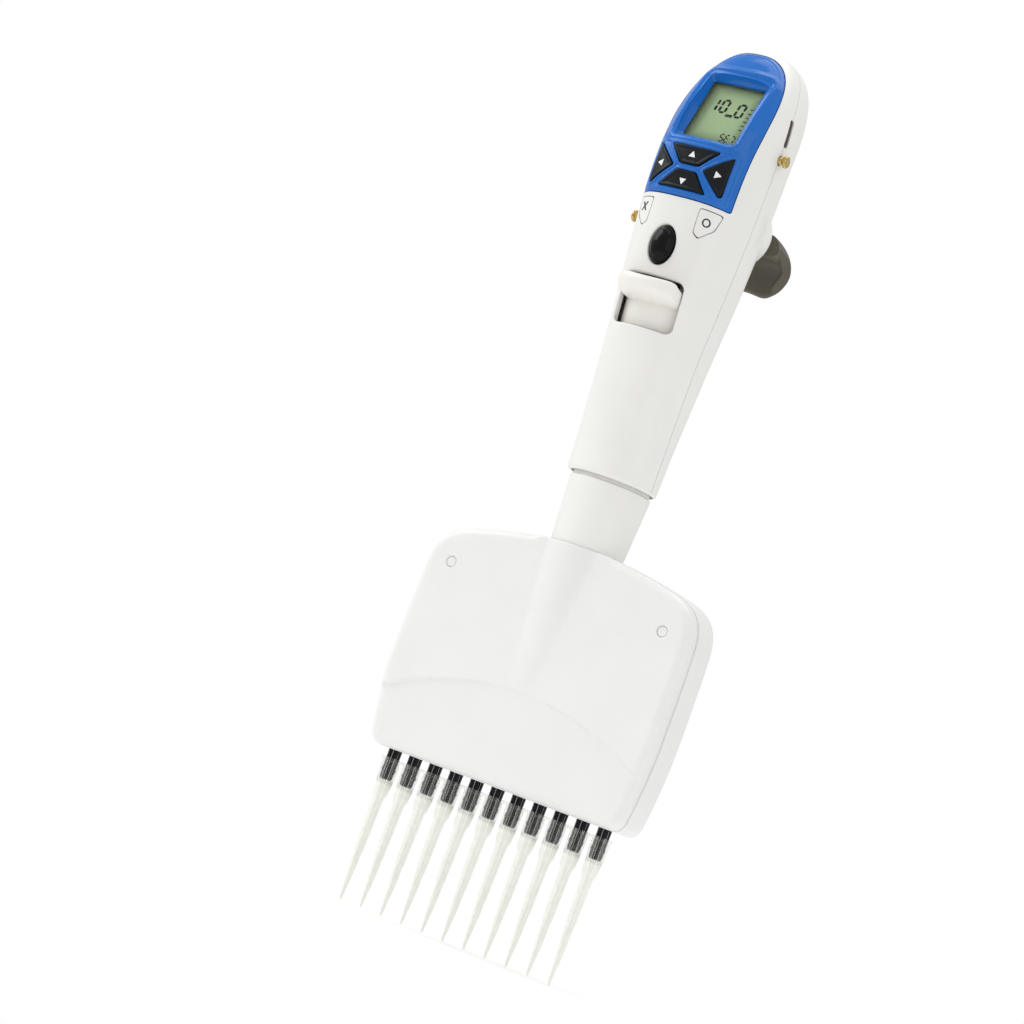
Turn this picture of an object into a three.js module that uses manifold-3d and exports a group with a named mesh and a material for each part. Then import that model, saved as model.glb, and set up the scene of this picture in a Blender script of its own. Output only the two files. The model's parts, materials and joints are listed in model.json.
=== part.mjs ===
// Hand-held electronic multichannel pipette with its tips fitted. Millimetres, +Z up.
// The origin is the centre of the row of tip ends. X runs along the row and -Y is the front.
import * as THREE from 'three';
import { mergeVertices } from 'three/addons/utils/BufferGeometryUtils.js';
import Module from 'manifold-3d';

const wasm = await Module();
wasm.setup();

// ---------------------------------------------------------------- driving dimensions
const CHANNELS = 11;
const PITCH = 9; // spacing of the wells in a microplate
const ROW_HALF = ((CHANNELS - 1) / 2) * PITCH;
const GAP = 0.3; // clearance between touching pieces
const WALL = 2.2;

const NOZZLE_END = 45.7;
const TIP_TOP = 53.8;
const COVER_FLOOR = 57.3;
const COVER_TOP = 146.6;
const COVER_FRONT = -11.5;
const COVER_BACK = 12;
const COVER_SEAM = -3.6;
const EJECT_TRAVEL = 9;

const NECK_BOTTOM = 110.3;
const NECK_RADIUS = 15.2; // where the neck meets the handle
const NECK_SLOPE = 0.064; // loss of radius per millimetre going down
const NECK_BORE = 9.6;
const RIM = 172.8; // lowest edge of the handle
const SPRING_LINE = 303.3; // where the arched top of the handle begins
const HANDLE_TOP = 340.3;
const DISPLAY_CENTRE = [0, -17.1, 309.7];
const DISPLAY_LEAN = THREE.MathUtils.degToRad(20.7);

// Stations up the handle: half width, front and back in y, and how square the section is.
const STATIONS = [
  { z: RIM, half: 16.8, front: -16.8, back: 16.8, square: 2.0 },
  { z: 183, half: 16.9, front: -17.8, back: 17.2, square: 2.05 },
  { z: 194, half: 17.0, front: -19.3, back: 17.7, square: 2.15 },
  { z: 208, half: 17.1, front: -21.3, back: 19.0, square: 2.3 },
  { z: 223, half: 17.5, front: -23.5, back: 20.0, square: 2.4 },
  { z: 250, half: 19.4, front: -26.8, back: 20.4, square: 2.5 },
  { z: 273, half: 20.6, front: -28.6, back: 19.4, square: 2.7 },
  { z: 290, half: 21.0, front: -28.2, back: 18.2, square: 2.9 },
  { z: SPRING_LINE, half: 21.0, front: -25.8, back: 18.4, square: 2.9 },
  { z: 318, half: 21.0, front: -19.6, back: 19.6, square: 2.9 },
  { z: 330, half: 21.0, front: -13.4, back: 19.4, square: 2.9 },
  { z: 336, half: 21.0, front: -9.0, back: 17.4, square: 2.9 },
  { z: 339, half: 21.0, front: -4.5, back: 14.4, square: 2.9 },
  { z: HANDLE_TOP, half: 21.0, front: 0.5, back: 8.4, square: 2.9 },
];
const SEAM = [
  { z: RIM, y: -1.3 },
  { z: 295, y: -6 },
  { z: 318, y: -4.5 },
  { z: HANDLE_TOP, y: 4 },
];

// The side slot and the charging posts in the handle, and the hook's boss on its back.
const SLOT = { y: -5, bottom: 305.8, top: 316.2, half: 1.6 };
const POSTS = {
  right: { y: -5.2, z: 300.8 },
  left: { y: -11.8, z: 267.1 },
};
const HOOK = { half: 17.6, root: 273.5, top: 281.5 };
const BOSS = { radii: [19.6, 15.5, 16], y: 10, z: 276, face: 24 };
const CASE_SCREW_Z = 198;

// Inside the head: the ejector's yoke, the cylinder block, the piston plate and the frame.
const YOKE = { bottom: 131, top: 134 };
const BLOCK = { bottom: 62, top: 82, half: 49.5, deep: 7 };
const PLATE = { bottom: 88.5, top: 93.5 };
const FRAME = { bottom: 106, top: 110 };
const GUIDE_X = 31.5;
const COVER_SCREW = { x: 44.6, z: 127.5 };

// ---------------------------------------------------------------- materials
function finish(color, roughness, metalness = 0) {
  return new THREE.MeshStandardMaterial({ color, roughness, metalness });
}

const shellWhite = finish(0xeeede8, 0.42);
const headWhite = finish(0xf1f1f1, 0.4);
const ejectorWhite = finish(0xe9e5dc, 0.5);
const bezelBlue = finish(0x2a6cc0, 0.25);
const keyBlack = finish(0x17181c, 0.45);
const triggerBlack = finish(0x0e0e10, 0.18);
const hookTaupe = finish(0x5b574c, 0.4);
const gold = finish(0xc79a3c, 0.25, 1);
const lensClear = finish(0x9db98a, 0.1);
const displayGreen = finish(0x9db98a, 0.5);
const nozzleBlack = finish(0x15161a, 0.3);
const tipClear = finish(0xe8ebe4, 0.35);
const steel = finish(0xb4b7bb, 0.3, 1);
const aluminium = finish(0xc2c5c9, 0.4, 1);
const boardGreen = finish(0x1f5a3a, 0.55);
const darkPlastic = finish(0x2b2c2f, 0.6);
const motorGrey = finish(0x4a4d52, 0.45, 0.6);
const brass = finish(0xb08d4a, 0.35, 1);

// ---------------------------------------------------------------- geometry helpers
// Merges shared vertices, drops empty triangles and turns the faces outwards.
function tidy(geometry) {
  const bare = geometry.clone();
  bare.deleteAttribute('normal');
  bare.deleteAttribute('uv');
  const merged = mergeVertices(bare, 1e-4);
  const index = merged.index.array;
  const position = merged.attributes.position;
  const [a, b, c] = [new THREE.Vector3(), new THREE.Vector3(), new THREE.Vector3()];
  const kept = [];
  let volume = 0;
  for (let i = 0; i < index.length; i += 3) {
    const [p, q, r] = [index[i], index[i + 1], index[i + 2]];
    if (p === q || q === r || r === p) continue;
    kept.push(p, q, r);
    a.fromBufferAttribute(position, p);
    b.fromBufferAttribute(position, q);
    c.fromBufferAttribute(position, r);
    volume += a.dot(b.cross(c));
  }
  merged.setIndex(volume < 0 ? kept.reverse() : kept);
  return merged;
}

function solid(geometry) {
  const merged = tidy(geometry);
  const mesh = new wasm.Mesh({
    numProp: 3,
    vertProperties: new Float32Array(merged.attributes.position.array),
    triVerts: new Uint32Array(merged.index.array),
  });
  return new wasm.Manifold(mesh);
}

function surface(manifold) {
  const mesh = manifold.getMesh();
  const geometry = new THREE.BufferGeometry();
  geometry.setAttribute('position', new THREE.BufferAttribute(mesh.vertProperties, 3));
  geometry.setIndex(new THREE.BufferAttribute(mesh.triVerts, 1));
  return geometry;
}

function join(...geometries) {
  return surface(geometries.map(solid).reduce((whole, piece) => whole.add(piece)));
}

function cut(base, ...tools) {
  return surface(tools.map(solid).reduce((whole, tool) => whole.subtract(tool), solid(base)));
}

function common(base, ...others) {
  return surface(others.map(solid).reduce((whole, other) => whole.intersect(other), solid(base)));
}

// A box given by its limits.
function block(x0, x1, y0, y1, z0, z1) {
  const box = new THREE.BoxGeometry(x1 - x0, y1 - y0, z1 - z0);
  return box.translate((x0 + x1) / 2, (y0 + y1) / 2, (z0 + z1) / 2);
}

// A solid turned about Z from a profile of [radius, height] points.
function turned(profile, segments = 24) {
  const points = profile.map(([radius, z]) => new THREE.Vector2(radius, z));
  return new THREE.LatheGeometry(points, segments).rotateX(Math.PI / 2);
}

function tube(outer, inner, bottom, top, segments = 20) {
  return turned([[inner, bottom], [outer, bottom], [outer, top], [inner, top], [inner, bottom]], segments);
}

function rod(radius, bottom, top, segments = 16) {
  return turned([[0, bottom], [radius, bottom], [radius, top], [0, top]], segments);
}

// A cylinder along Y.
function pin(radius, front, back, x, z, segments = 16) {
  const cylinder = new THREE.CylinderGeometry(radius, radius, back - front, segments);
  return cylinder.translate(x, (front + back) / 2, z);
}

// A shape drawn in the XZ plane, made thick between two places in y.
function slab(shape, front, back, bevel = 0, curveSegments = 6) {
  const geometry = new THREE.ExtrudeGeometry(shape, {
    depth: back - front - 2 * bevel,
    bevelEnabled: bevel > 0,
    bevelThickness: bevel,
    bevelSize: bevel,
    bevelOffset: -bevel,
    bevelSegments: 2,
    curveSegments,
  });
  return geometry.rotateX(Math.PI / 2).translate(0, back - bevel, 0);
}

function polygon(points) {
  return new THREE.Shape(points.map(([x, z]) => new THREE.Vector2(x, z)));
}

// A rounded polygon: each corner becomes a curve starting `radius` from it, or less on a short side.
function rounded(points, radius) {
  const shape = new THREE.Shape();
  const corners = points.map(([x, z]) => new THREE.Vector2(x, z));
  corners.forEach((corner, i) => {
    const before = corners[(i + corners.length - 1) % corners.length];
    const after = corners[(i + 1) % corners.length];
    const towards = (other) => {
      const way = other.clone().sub(corner);
      return corner.clone().add(way.setLength(Math.min(radius, 0.4 * way.length())));
    };
    const [start, end] = [towards(before), towards(after)];
    if (i === 0) shape.moveTo(start.x, start.y);
    else shape.lineTo(start.x, start.y);
    shape.quadraticCurveTo(corner.x, corner.y, end.x, end.y);
  });
  shape.closePath();
  return shape;
}

// ---------------------------------------------------------------- the handle's form
// A smooth value between stations, as a cubic with central slopes.
function between(stations, key, z) {
  const last = stations.length - 2;
  let i = stations.findIndex((station) => station.z > z) - 1;
  if (i < 0) i = z <= stations[0].z ? 0 : last;
  const slope = (j) => {
    const low = stations[Math.max(j - 1, 0)];
    const high = stations[Math.min(j + 1, stations.length - 1)];
    return (high[key] - low[key]) / (high.z - low.z);
  };
  const [from, to] = [stations[i], stations[i + 1]];
  const span = to.z - from.z;
  const t = THREE.MathUtils.clamp((z - from.z) / span, 0, 1);
  const [t2, t3] = [t * t, t * t * t];
  return (2 * t3 - 3 * t2 + 1) * from[key] + (t3 - 2 * t2 + t) * span * slope(i)
    + (3 * t2 - 2 * t3) * to[key] + (t3 - t2) * span * slope(i + 1);
}

const ARCH_POWER = 2.3;

function arch(z, rise) {
  const u = THREE.MathUtils.clamp((z - SPRING_LINE) / rise, 0, 1);
  return (1 - u ** ARCH_POWER) ** (1 / ARCH_POWER);
}

// A point on the handle's section at height z, `inset` inside the outer surface.
function handlePoint(z, angle, inset) {
  const rise = HANDLE_TOP - SPRING_LINE;
  const level = z <= SPRING_LINE ? z : SPRING_LINE + ((z - SPRING_LINE) * rise) / (rise - inset);
  const half = between(STATIONS, 'half', level) * arch(level, rise + 0.01) - inset;
  const seam = between(SEAM, 'y', level);
  const front = between(STATIONS, 'front', level) + inset;
  const back = between(STATIONS, 'back', level) - inset;
  const power = 2 / between(STATIONS, 'square', level);
  const [cos, sin] = [Math.cos(angle), Math.sin(angle)];
  const depth = sin < 0 ? seam - front : back - seam;
  return [
    Math.max(half, 0.4) * Math.sign(cos) * Math.abs(cos) ** power,
    seam + Math.max(depth, 0.4) * Math.sign(sin) * Math.abs(sin) ** power,
  ];
}

// The handle's form between two heights: a lathe of unit radius, moved onto the sections.
function handleForm(bottom, top, inset, segments = 32) {
  const heights = [184, 194, 208, 223, 236, 250, 262, 273, 290, SPRING_LINE]
    .concat([312, 320, 327, 332.5, 336.3, 338.8]);
  const middle = heights.filter((z) => z > bottom + 1 && z < top - 0.5);
  const levels = [bottom, ...middle, top];
  const profile = [[0, bottom], ...levels.map((z) => [1, z]), [0, top]];
  const geometry = turned(profile, segments);
  const position = geometry.attributes.position;
  for (let i = 0; i < position.count; i += 1) {
    const [x, y, z] = [position.getX(i), position.getY(i), position.getZ(i)];
    if (Math.hypot(x, y) < 0.5) {
      position.setXY(i, 0, between(SEAM, 'y', z));
    } else {
      const [px, py] = handlePoint(z, Math.atan2(y, x), inset);
      position.setXY(i, px, py);
    }
  }
  return geometry;
}

// Everything in front of the seam between the handle's two shells.
function frontOfSeam(offset) {
  const heights = [160, RIM, 220, 260, 295, 306, 318, 330, HANDLE_TOP, 350];
  const points = heights.map((z) => [between(SEAM, 'y', z) + offset, z]);
  const shape = polygon([[FAR_FRONT, 160], ...points, [FAR_FRONT, 350]]);
  const geometry = new THREE.ExtrudeGeometry(shape, { depth: 80, bevelEnabled: false });
  // the drawn plane (y, z) is turned so that its depth runs along X
  return geometry.applyMatrix4(new THREE.Matrix4().set(0, 0, 1, -40, 1, 0, 0, 0, 0, 1, 0, 0, 0, 0, 0, 1));
}

// ---------------------------------------------------------------- outlines on the handle's front
const BEZEL = { half: 18.4, foot: 17.7, bottom: 274.1, top: 336.2, back: -6 };
const WINDOW = { half: 12.1, bottom: 226.3, top: 245, radius: 3 };
const TRIGGER = { half: 4.7, tall: 7, z: 256 };
const DISPLAY = { half: 10.6, tall: 12.7 };
const FAR_FRONT = -60; // in front of everything, where the cutting slabs begin
const KEY_BACK = -18.4; // flat backs of the keys, just off the switch mat

const BEZEL_ARCH_POWER = 2.6;

function bezelShape(grow) {
  const half = BEZEL.half + grow;
  const rise = BEZEL.top - SPRING_LINE + grow;
  const steps = [0.2, 0.4, 0.58, 0.72, 0.84, 0.93, 0.98];
  const narrowed = (u) => (1 - u ** BEZEL_ARCH_POWER) ** (1 / BEZEL_ARCH_POWER);
  const side = steps.map((u) => [half * narrowed(u), SPRING_LINE + u * rise]);
  const mirrored = side.map(([x, z]) => [-x, z]).reverse();
  return polygon([
    [-BEZEL.foot - grow, BEZEL.bottom - grow], [BEZEL.foot + grow, BEZEL.bottom - grow], [half, SPRING_LINE],
    ...side, [0, SPRING_LINE + rise], ...mirrored, [-half, SPRING_LINE],
  ]);
}

// Corners of the four arrow keys, counterclockwise seen from the front, and their rounding.
const KEY_CORNER = 0.7;
const ARROW_KEYS = {
  up: [[-3.6, 286], [3.6, 286], [9.6, 292.6], [-9.6, 292.6]],
  down: [[-9.4, 276.6], [9.4, 276.6], [3.6, 283.3], [-3.6, 283.3]],
  right: [[6.3, 284.7], [13.9, 277.4], [14.8, 278.2], [14.8, 292.2]],
  left: [[-14.8, 292.2], [-14.8, 278.2], [-13.9, 277.4], [-6.3, 284.7]],
};

// The cancel key (side -1) and the enter key (side 1): a shield with its point low and inboard.
const CORNER_KEY = [[9.6, 271.8], [9.6, 263.2], [11.6, 261.6], [15.2, 265.8], [16.6, 271.8]];

function grownPolygon(points, grow) {
  const count = points.length;
  const centre = points.reduce(([x, z], [px, pz]) => [x + px / count, z + pz / count], [0, 0]);
  return points.map(([x, z]) => {
    const away = new THREE.Vector2(x - centre[0], z - centre[1]);
    away.setLength(away.length() + grow * 1.5);
    return [centre[0] + away.x, centre[1] + away.y];
  });
}

function cornerKeyShape(side, grow) {
  const points = grownPolygon(CORNER_KEY, grow).map(([x, z]) => [side * x, z]);
  return rounded(side > 0 ? points : points.reverse(), 0.9);
}

function ovalShape(half, tall, z) {
  const shape = new THREE.Shape();
  shape.absellipse(0, z, half, tall, 0, 2 * Math.PI, false);
  return shape;
}

function windowShape(grow) {
  const [x, bottom, top] = [WINDOW.half + grow, WINDOW.bottom - grow, WINDOW.top + grow];
  return rounded([[-x, bottom], [x, bottom], [x, top], [-x, top]], WINDOW.radius);
}

// A block set square to the leaning display.
function leaningBlock(halfWide, halfTall, front, back) {
  const box = block(-halfWide, halfWide, front, back, -halfTall, halfTall);
  return box.rotateX(-DISPLAY_LEAN).translate(...DISPLAY_CENTRE);
}

// ---------------------------------------------------------------- handle pieces
function handleHollow() {
  return join(handleForm(RIM + 1.8, HANDLE_TOP - WALL, WALL, 20), rod(15.6, RIM - 3, RIM + 3.2, 24));
}

function slotCutter() {
  return block(14, 26, SLOT.y - SLOT.half, SLOT.y + SLOT.half, SLOT.bottom, SLOT.top);
}

function postHoles() {
  return [[1, POSTS.right], [-1, POSTS.left]].map(([side, post]) => {
    const hole = new THREE.CylinderGeometry(1.9, 1.9, 14, 14).rotateZ(Math.PI / 2);
    return hole.translate(side * 21, post.y, post.z);
  });
}

function handleFrontShell() {
  const half = common(handleForm(RIM, HANDLE_TOP - 0.3, 0), frontOfSeam(-GAP / 2));
  return cut(
    half, handleHollow(),
    slab(bezelShape(GAP), FAR_FRONT, BEZEL.back + GAP),
    slab(windowShape(0), FAR_FRONT, -5),
    slab(ovalShape(TRIGGER.half + GAP, TRIGGER.tall + GAP, TRIGGER.z), FAR_FRONT, -10, 0, 9),
    slab(cornerKeyShape(1, GAP), FAR_FRONT, -8),
    slab(cornerKeyShape(-1, GAP), FAR_FRONT, -8),
    slotCutter(), ...postHoles(),
  );
}

function handleRearShell() {
  const swell = new THREE.SphereGeometry(1, 20, 12).scale(...BOSS.radii).translate(0, BOSS.y, BOSS.z);
  const boss = common(swell, block(-20, 20, 0, BOSS.face, 250, 310));
  const whole = join(handleForm(RIM, HANDLE_TOP - 0.3, 0), boss);
  return cut(
    whole, handleHollow(), frontOfSeam(GAP / 2), slotCutter(), ...postHoles(),
    pin(2.6, 16.3, 30, 0, CASE_SCREW_Z), pin(1.5, 5, 20, 0, CASE_SCREW_Z, 10),
  );
}

function keypadBezel() {
  const skin = cut(
    common(handleForm(200, HANDLE_TOP - 0.1, -0.3), slab(bezelShape(0), FAR_FRONT, BEZEL.back)),
    handleForm(190, HANDLE_TOP - WALL - 0.4, WALL + 0.4, 20),
  );
  const openings = Object.values(ARROW_KEYS).map((key) => rounded(grownPolygon(key, GAP), KEY_CORNER));
  const keys = openings.map((opening) => slab(opening, FAR_FRONT, -5, 0, 2));
  return cut(
    skin, ...keys,
    leaningBlock(DISPLAY.half, DISPLAY.tall, -30, 10),
    leaningBlock(DISPLAY.half + 1.3, DISPLAY.tall + 1.3, -0.9, 10),
  );
}

function arrowKey(name) {
  const prism = slab(rounded(ARROW_KEYS[name], KEY_CORNER), FAR_FRONT, KEY_BACK, 0, 2);
  return common(prism, handleForm(262, 300, -1.1));
}

function cornerKey(side) {
  const prism = slab(cornerKeyShape(side, 0), FAR_FRONT, KEY_BACK, 0, 2);
  return common(prism, handleForm(250, 290, 0));
}

function triggerButton() {
  const stem = slab(ovalShape(TRIGGER.half, TRIGGER.tall, TRIGGER.z), -34, -20.5, 0, 9);
  const dome = new THREE.SphereGeometry(1, 18, 12).scale(6.4, 9.4, 9.4).translate(0, -21.2, TRIGGER.z);
  return common(stem, dome);
}

// A gold charging post: a waisted button on the outside and a collar inside the shell.
function chargingPost(side, post) {
  const out = handleHalf(post.z);
  const profile = [
    [0, out - 6], [2.5, out - 6], [2.5, out - 4], [1.5, out - 4], [1.5, out + 0.8], [1.2, out + 1.3],
    [1.3, out + 2.1], [1.9, out + 2.5], [1.9, out + 3.3], [0, out + 3.3],
  ];
  return turned(profile, 10).rotateY((side * Math.PI) / 2).translate(0, post.y, post.z);
}

function handleHalf(z) {
  return handlePoint(z, 0, 0)[0];
}

function dataPort() {
  return cut(block(12.4, 16.4, -8, -2, 304, 317), block(15, 20, SLOT.y - 2, SLOT.y + 2, 305, 316.4));
}

// The finger hook: an arm out of the back that curls down behind the finger.
function fingerHook() {
  const shape = new THREE.Shape();
  shape.moveTo(BOSS.face + GAP, HOOK.root);
  shape.lineTo(33, HOOK.root);
  shape.bezierCurveTo(36.8, HOOK.root, 38.8, 268.5, 38.2, 261.6);
  shape.quadraticCurveTo(39.4, 260.2, 40.8, 261.6);
  shape.bezierCurveTo(43.2, 270, 42.5, HOOK.top, BOSS.face + GAP, HOOK.top);
  shape.closePath();
  const options = { depth: 2 * HOOK.half, bevelEnabled: false, curveSegments: 7 };
  const arm = new THREE.ExtrudeGeometry(shape, options);
  arm.applyMatrix4(new THREE.Matrix4().set(0, 0, 1, -HOOK.half, 1, 0, 0, 0, 0, 1, 0, 0, 0, 0, 0, 1));
  const plan = new THREE.Shape();
  plan.moveTo(-15.5, 286);
  plan.bezierCurveTo(-18.6, 276, -19, 262, -9, 260.2);
  plan.lineTo(9, 260.2);
  plan.bezierCurveTo(19, 262, 18.6, 276, 15.5, 286);
  return common(arm, slab(plan, 20, 50));
}

function caseScrew() {
  return join(pin(2.2, 16.6, 17.2, 0, CASE_SCREW_Z), pin(1.1, 14.2, 16.8, 0, CASE_SCREW_Z, 10));
}

function circuitBoard() {
  return block(-14, 14, -16.5, -14.9, 249, 293);
}

// A rubber mat with a dome under each key.
function switchMat() {
  const arrows = [[0, 289.4], [0, 279.6], [11.6, 284.7], [-11.6, 284.7]];
  const centres = [...arrows, [12.8, 267.2], [-12.8, 267.2], [0, TRIGGER.z]];
  const domes = centres.map(([x, z]) => pin(1.8, -17.5, -17, x, z, 10));
  return join(block(-14, 14, -17.2, -16.8, 249, 293), ...domes);
}

function displayModule() {
  return leaningBlock(12.2, 14.6, 0.9, 5.2);
}

function displayWindow() {
  return leaningBlock(DISPLAY.half + 1, DISPLAY.tall + 1, -0.6, 0.6);
}

function batteryPack() {
  return slab(rounded([[-10, 288], [10, 288], [10, 319], [-10, 319]], 2), 3, 11, 0, 3);
}

function stepperMotor() {
  const profile = rounded([[-11, 252], [11, 252], [11, 279.5], [-11, 279.5]], 1.5);
  return cut(slab(profile, -11, 11, 0, 3), rod(3.6, 240, 290));
}

function motorBracket() {
  return cut(block(-13, 13, -11, 11, 247.5, 251.7), rod(3.8, 240, 260, 12));
}

function swivelBearing() {
  return tube(14.1, 13.1, 178, 185, 20);
}

// ---------------------------------------------------------------- drive, ejector and neck
function leadScrew() {
  const foot = PLATE.top + GAP;
  return turned([[0, foot], [5, foot], [5, foot + 3], [3, foot + 3], [3, 264], [2.4, 265], [0, 265]], 16);
}

function ejectorTube() {
  return turned([
    [7.6, 134.3], [9.2, 134.3], [9.2, 216], [7.6, 216], [7.6, 134.3],
  ], 24);
}

function ejectorCarriage() {
  return join(
    tube(13, 9.5, 206, 214),
    block(-3.5, 3.5, -15.2, -11, 206, 239),
    block(-3.5, 3.5, -17.3, -12, 231, 238),
  );
}

// The part of the button behind the window follows the shell, far enough in to slide down.
function ejectorButton() {
  const lifted = (inset) => handleForm(195, 262, inset).translate(0, 0, EJECT_TRAVEL);
  const front = block(-11.8, 11.8, -40, -8, 226.6, 241);
  const skirt = cut(common(front, lifted(WALL + 0.5)), lifted(WALL + 2.6));
  const side = new THREE.Shape();
  side.moveTo(-17.6, 243.6);
  side.quadraticCurveTo(-26, 241.2, -31.2, 242.6);
  side.quadraticCurveTo(-33.2, 240.6, -31.5, 238.2);
  side.quadraticCurveTo(-27, 235.6, -21.5, 235.8);
  side.lineTo(-17.6, 236.5);
  side.closePath();
  const pad = new THREE.ExtrudeGeometry(side, { depth: 23.4, bevelEnabled: false, curveSegments: 5 });
  pad.applyMatrix4(new THREE.Matrix4().set(0, 0, 1, -11.7, 1, 0, 0, 0, 0, 1, 0, 0, 0, 0, 0, 1));
  const plan = new THREE.CylinderGeometry(19, 19, 20, 40).rotateX(Math.PI / 2).translate(0, -13.6, 240);
  const opening = slab(windowShape(-0.35), FAR_FRONT, -5, 0, 3);
  const lowest = opening.clone().translate(0, 0, EJECT_TRAVEL);
  return join(skirt, common(pad, plan, opening, lowest));
}

function ejectorSpring() {
  const [turns, radius, bottom, top] = [5, 11.4, 193.6, 205.2];
  class Helix extends THREE.Curve {
    getPoint(t, target = new THREE.Vector3()) {
      const angle = 2 * Math.PI * turns * t;
      return target.set(radius * Math.cos(angle), radius * Math.sin(angle), bottom + (top - bottom) * t);
    }
  }
  const wire = new THREE.Shape().absarc(0, 0, 0.45, 0, 2 * Math.PI, false);
  const options = { extrudePath: new Helix(), steps: 60, curveSegments: 2, bevelEnabled: false };
  return new THREE.ExtrudeGeometry(wire, options);
}

function neckRadius(z) {
  return NECK_RADIUS - (RIM - 1.3 - z) * NECK_SLOPE;
}

// The neck: a tapered tube with two side openings for the ejector yoke.
function swivelNeck() {
  const body = turned([
    [NECK_BORE, NECK_BOTTOM], [neckRadius(NECK_BOTTOM), NECK_BOTTOM], [NECK_RADIUS, RIM - 1.3],
    [NECK_RADIUS, RIM + 2.4], [12.8, RIM + 2.4], [12.8, 192], [NECK_BORE, 192], [NECK_BORE, NECK_BOTTOM],
  ], 28);
  return cut(body, block(-20, 20, -5.5, 5.5, YOKE.bottom - EJECT_TRAVEL - 0.6, YOKE.top + 0.4));
}

function neckRing() {
  return tube(14.1, 13.1, 186, 188, 20);
}

// ---------------------------------------------------------------- head internals
function channelX(i) {
  return i * PITCH - ROW_HALF;
}

function eachChannel(make) {
  return Array.from({ length: CHANNELS }, (_, i) => make(i, channelX(i)));
}

function cylinderBlock() {
  const { bottom, top, half, deep } = BLOCK;
  const bores = eachChannel((i, x) => rod(1.3, 60, 90, 6).translate(x, 0, 0));
  const seats = eachChannel((i, x) => rod(2.95, 60, 66.3, 8).translate(x, 0, 0));
  const posts = [-1, 1].map((side) => rod(2.8, 74, 90, 12).translate(side * GUIDE_X, 0, 0));
  return cut(block(-half, half, -deep, deep, bottom, top), ...bores, ...seats, ...posts);
}

// The plate that carries the neck, with its two guide posts riveted in.
function headFrame() {
  const plate = cut(block(-36, 36, -8, 8, FRAME.bottom, FRAME.top), rod(5.6, 100, 115));
  const posts = [-1, 1].map((side) => rod(2.5, 74.3, FRAME.bottom + 1, 12).translate(side * GUIDE_X, 0, 0));
  return join(plate, ...posts);
}

// The plate that lifts all the pistons at once, with the pistons pressed in.
function pistonComb() {
  const guides = [-1, 1].map((side) => rod(2.9, 80, 100, 12).translate(side * GUIDE_X, 0, 0));
  const plate = cut(block(-48.5, 48.5, -5, 5, PLATE.bottom, PLATE.top), ...guides);
  const pistons = eachChannel((i, x) => rod(0.95, 67.5, PLATE.bottom + 1, 6).translate(x, 0, 0));
  return join(plate, ...pistons);
}

function nozzle() {
  return turned([
    [0.7, NOZZLE_END], [2.2, NOZZLE_END], [2.55, NOZZLE_END + 1.5], [2.55, 66], [0.7, 66], [0.7, NOZZLE_END],
  ], 8);
}

function tip() {
  return turned([
    [0.25, 0], [0.5, 0], [1.45, 12.8], [1.95, 38.8], [2.7, 40.6], [3.25, TIP_TOP - 5], [3.3, TIP_TOP - 1.4],
    [3.85, TIP_TOP - 1], [3.85, TIP_TOP], [2.95, TIP_TOP], [2.9, NOZZLE_END - 0.6], [1.5, 38.8],
    [1.0, 12.8], [0.25, 0],
  ], 10);
}

// ---------------------------------------------------------------- head covers
function coverShape(inset) {
  const shape = new THREE.Shape();
  const [floor, top] = [COVER_FLOOR + inset, COVER_TOP - inset];
  const side = (x) => x - inset;
  shape.moveTo(0, floor);
  shape.lineTo(side(49.5), floor);
  shape.quadraticCurveTo(side(53.2), floor, side(53.8), floor + 5.5);
  shape.quadraticCurveTo(side(55.6), 75, side(55.9), 88);
  shape.quadraticCurveTo(side(56), 108, side(55.4), 124);
  shape.bezierCurveTo(side(55), 134.5, side(51), 139.5 - inset, side(42), 141.6 - inset);
  shape.quadraticCurveTo(28, 145.2 - inset, 14, top);
  shape.lineTo(-14, top);
  shape.quadraticCurveTo(-28, 145.2 - inset, -side(42), 141.6 - inset);
  shape.bezierCurveTo(-side(51), 139.5 - inset, -side(55), 134.5, -side(55.4), 124);
  shape.quadraticCurveTo(-side(56), 108, -side(55.9), 88);
  shape.quadraticCurveTo(-side(55.6), 75, -side(53.8), floor + 5.5);
  shape.quadraticCurveTo(-side(53.2), floor, -side(49.5), floor);
  shape.closePath();
  return shape;
}

// The sheath around the neck, and the same with the neck's own clearance for its bore.
function sheath(grow, bottom, top) {
  return turned([[0, bottom], [neckRadius(bottom) + grow, bottom], [neckRadius(top) + grow, top], [0, top]], 28);
}

// The lower front is cut back a little under an arched crease.
function scallop() {
  const [apex, radius, depth] = [91.5, 115, 1.5];
  const disc = new THREE.CylinderGeometry(radius, radius, 30, 72).translate(0, -15, apex - radius);
  const lean = Math.atan2(depth, apex - COVER_FLOOR);
  const wedge = new THREE.BoxGeometry(140, 20, 60).translate(0, -10, -30).rotateX(lean);
  return common(disc, wedge.translate(0, COVER_FRONT, apex));
}

function coverBody() {
  const outer = slab(coverShape(0), COVER_FRONT, COVER_BACK, 2.4, 4);
  const body = join(cut(outer, scallop()), sheath(1.2, 90, COVER_TOP));
  const inner = slab(coverShape(2), COVER_FRONT + 2, COVER_BACK - 2, 0, 3);
  return cut(body, inner, sheath(0.25, 80, 160));
}

function coverBosses() {
  const { x, z } = COVER_SCREW;
  return [-1, 1].flatMap((side) => [
    pin(3.4, COVER_FRONT + 1, -4.4, side * x, z, 12),
    pin(3.4, 4.4, COVER_BACK - 1, side * x, z, 12),
  ]);
}

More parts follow.
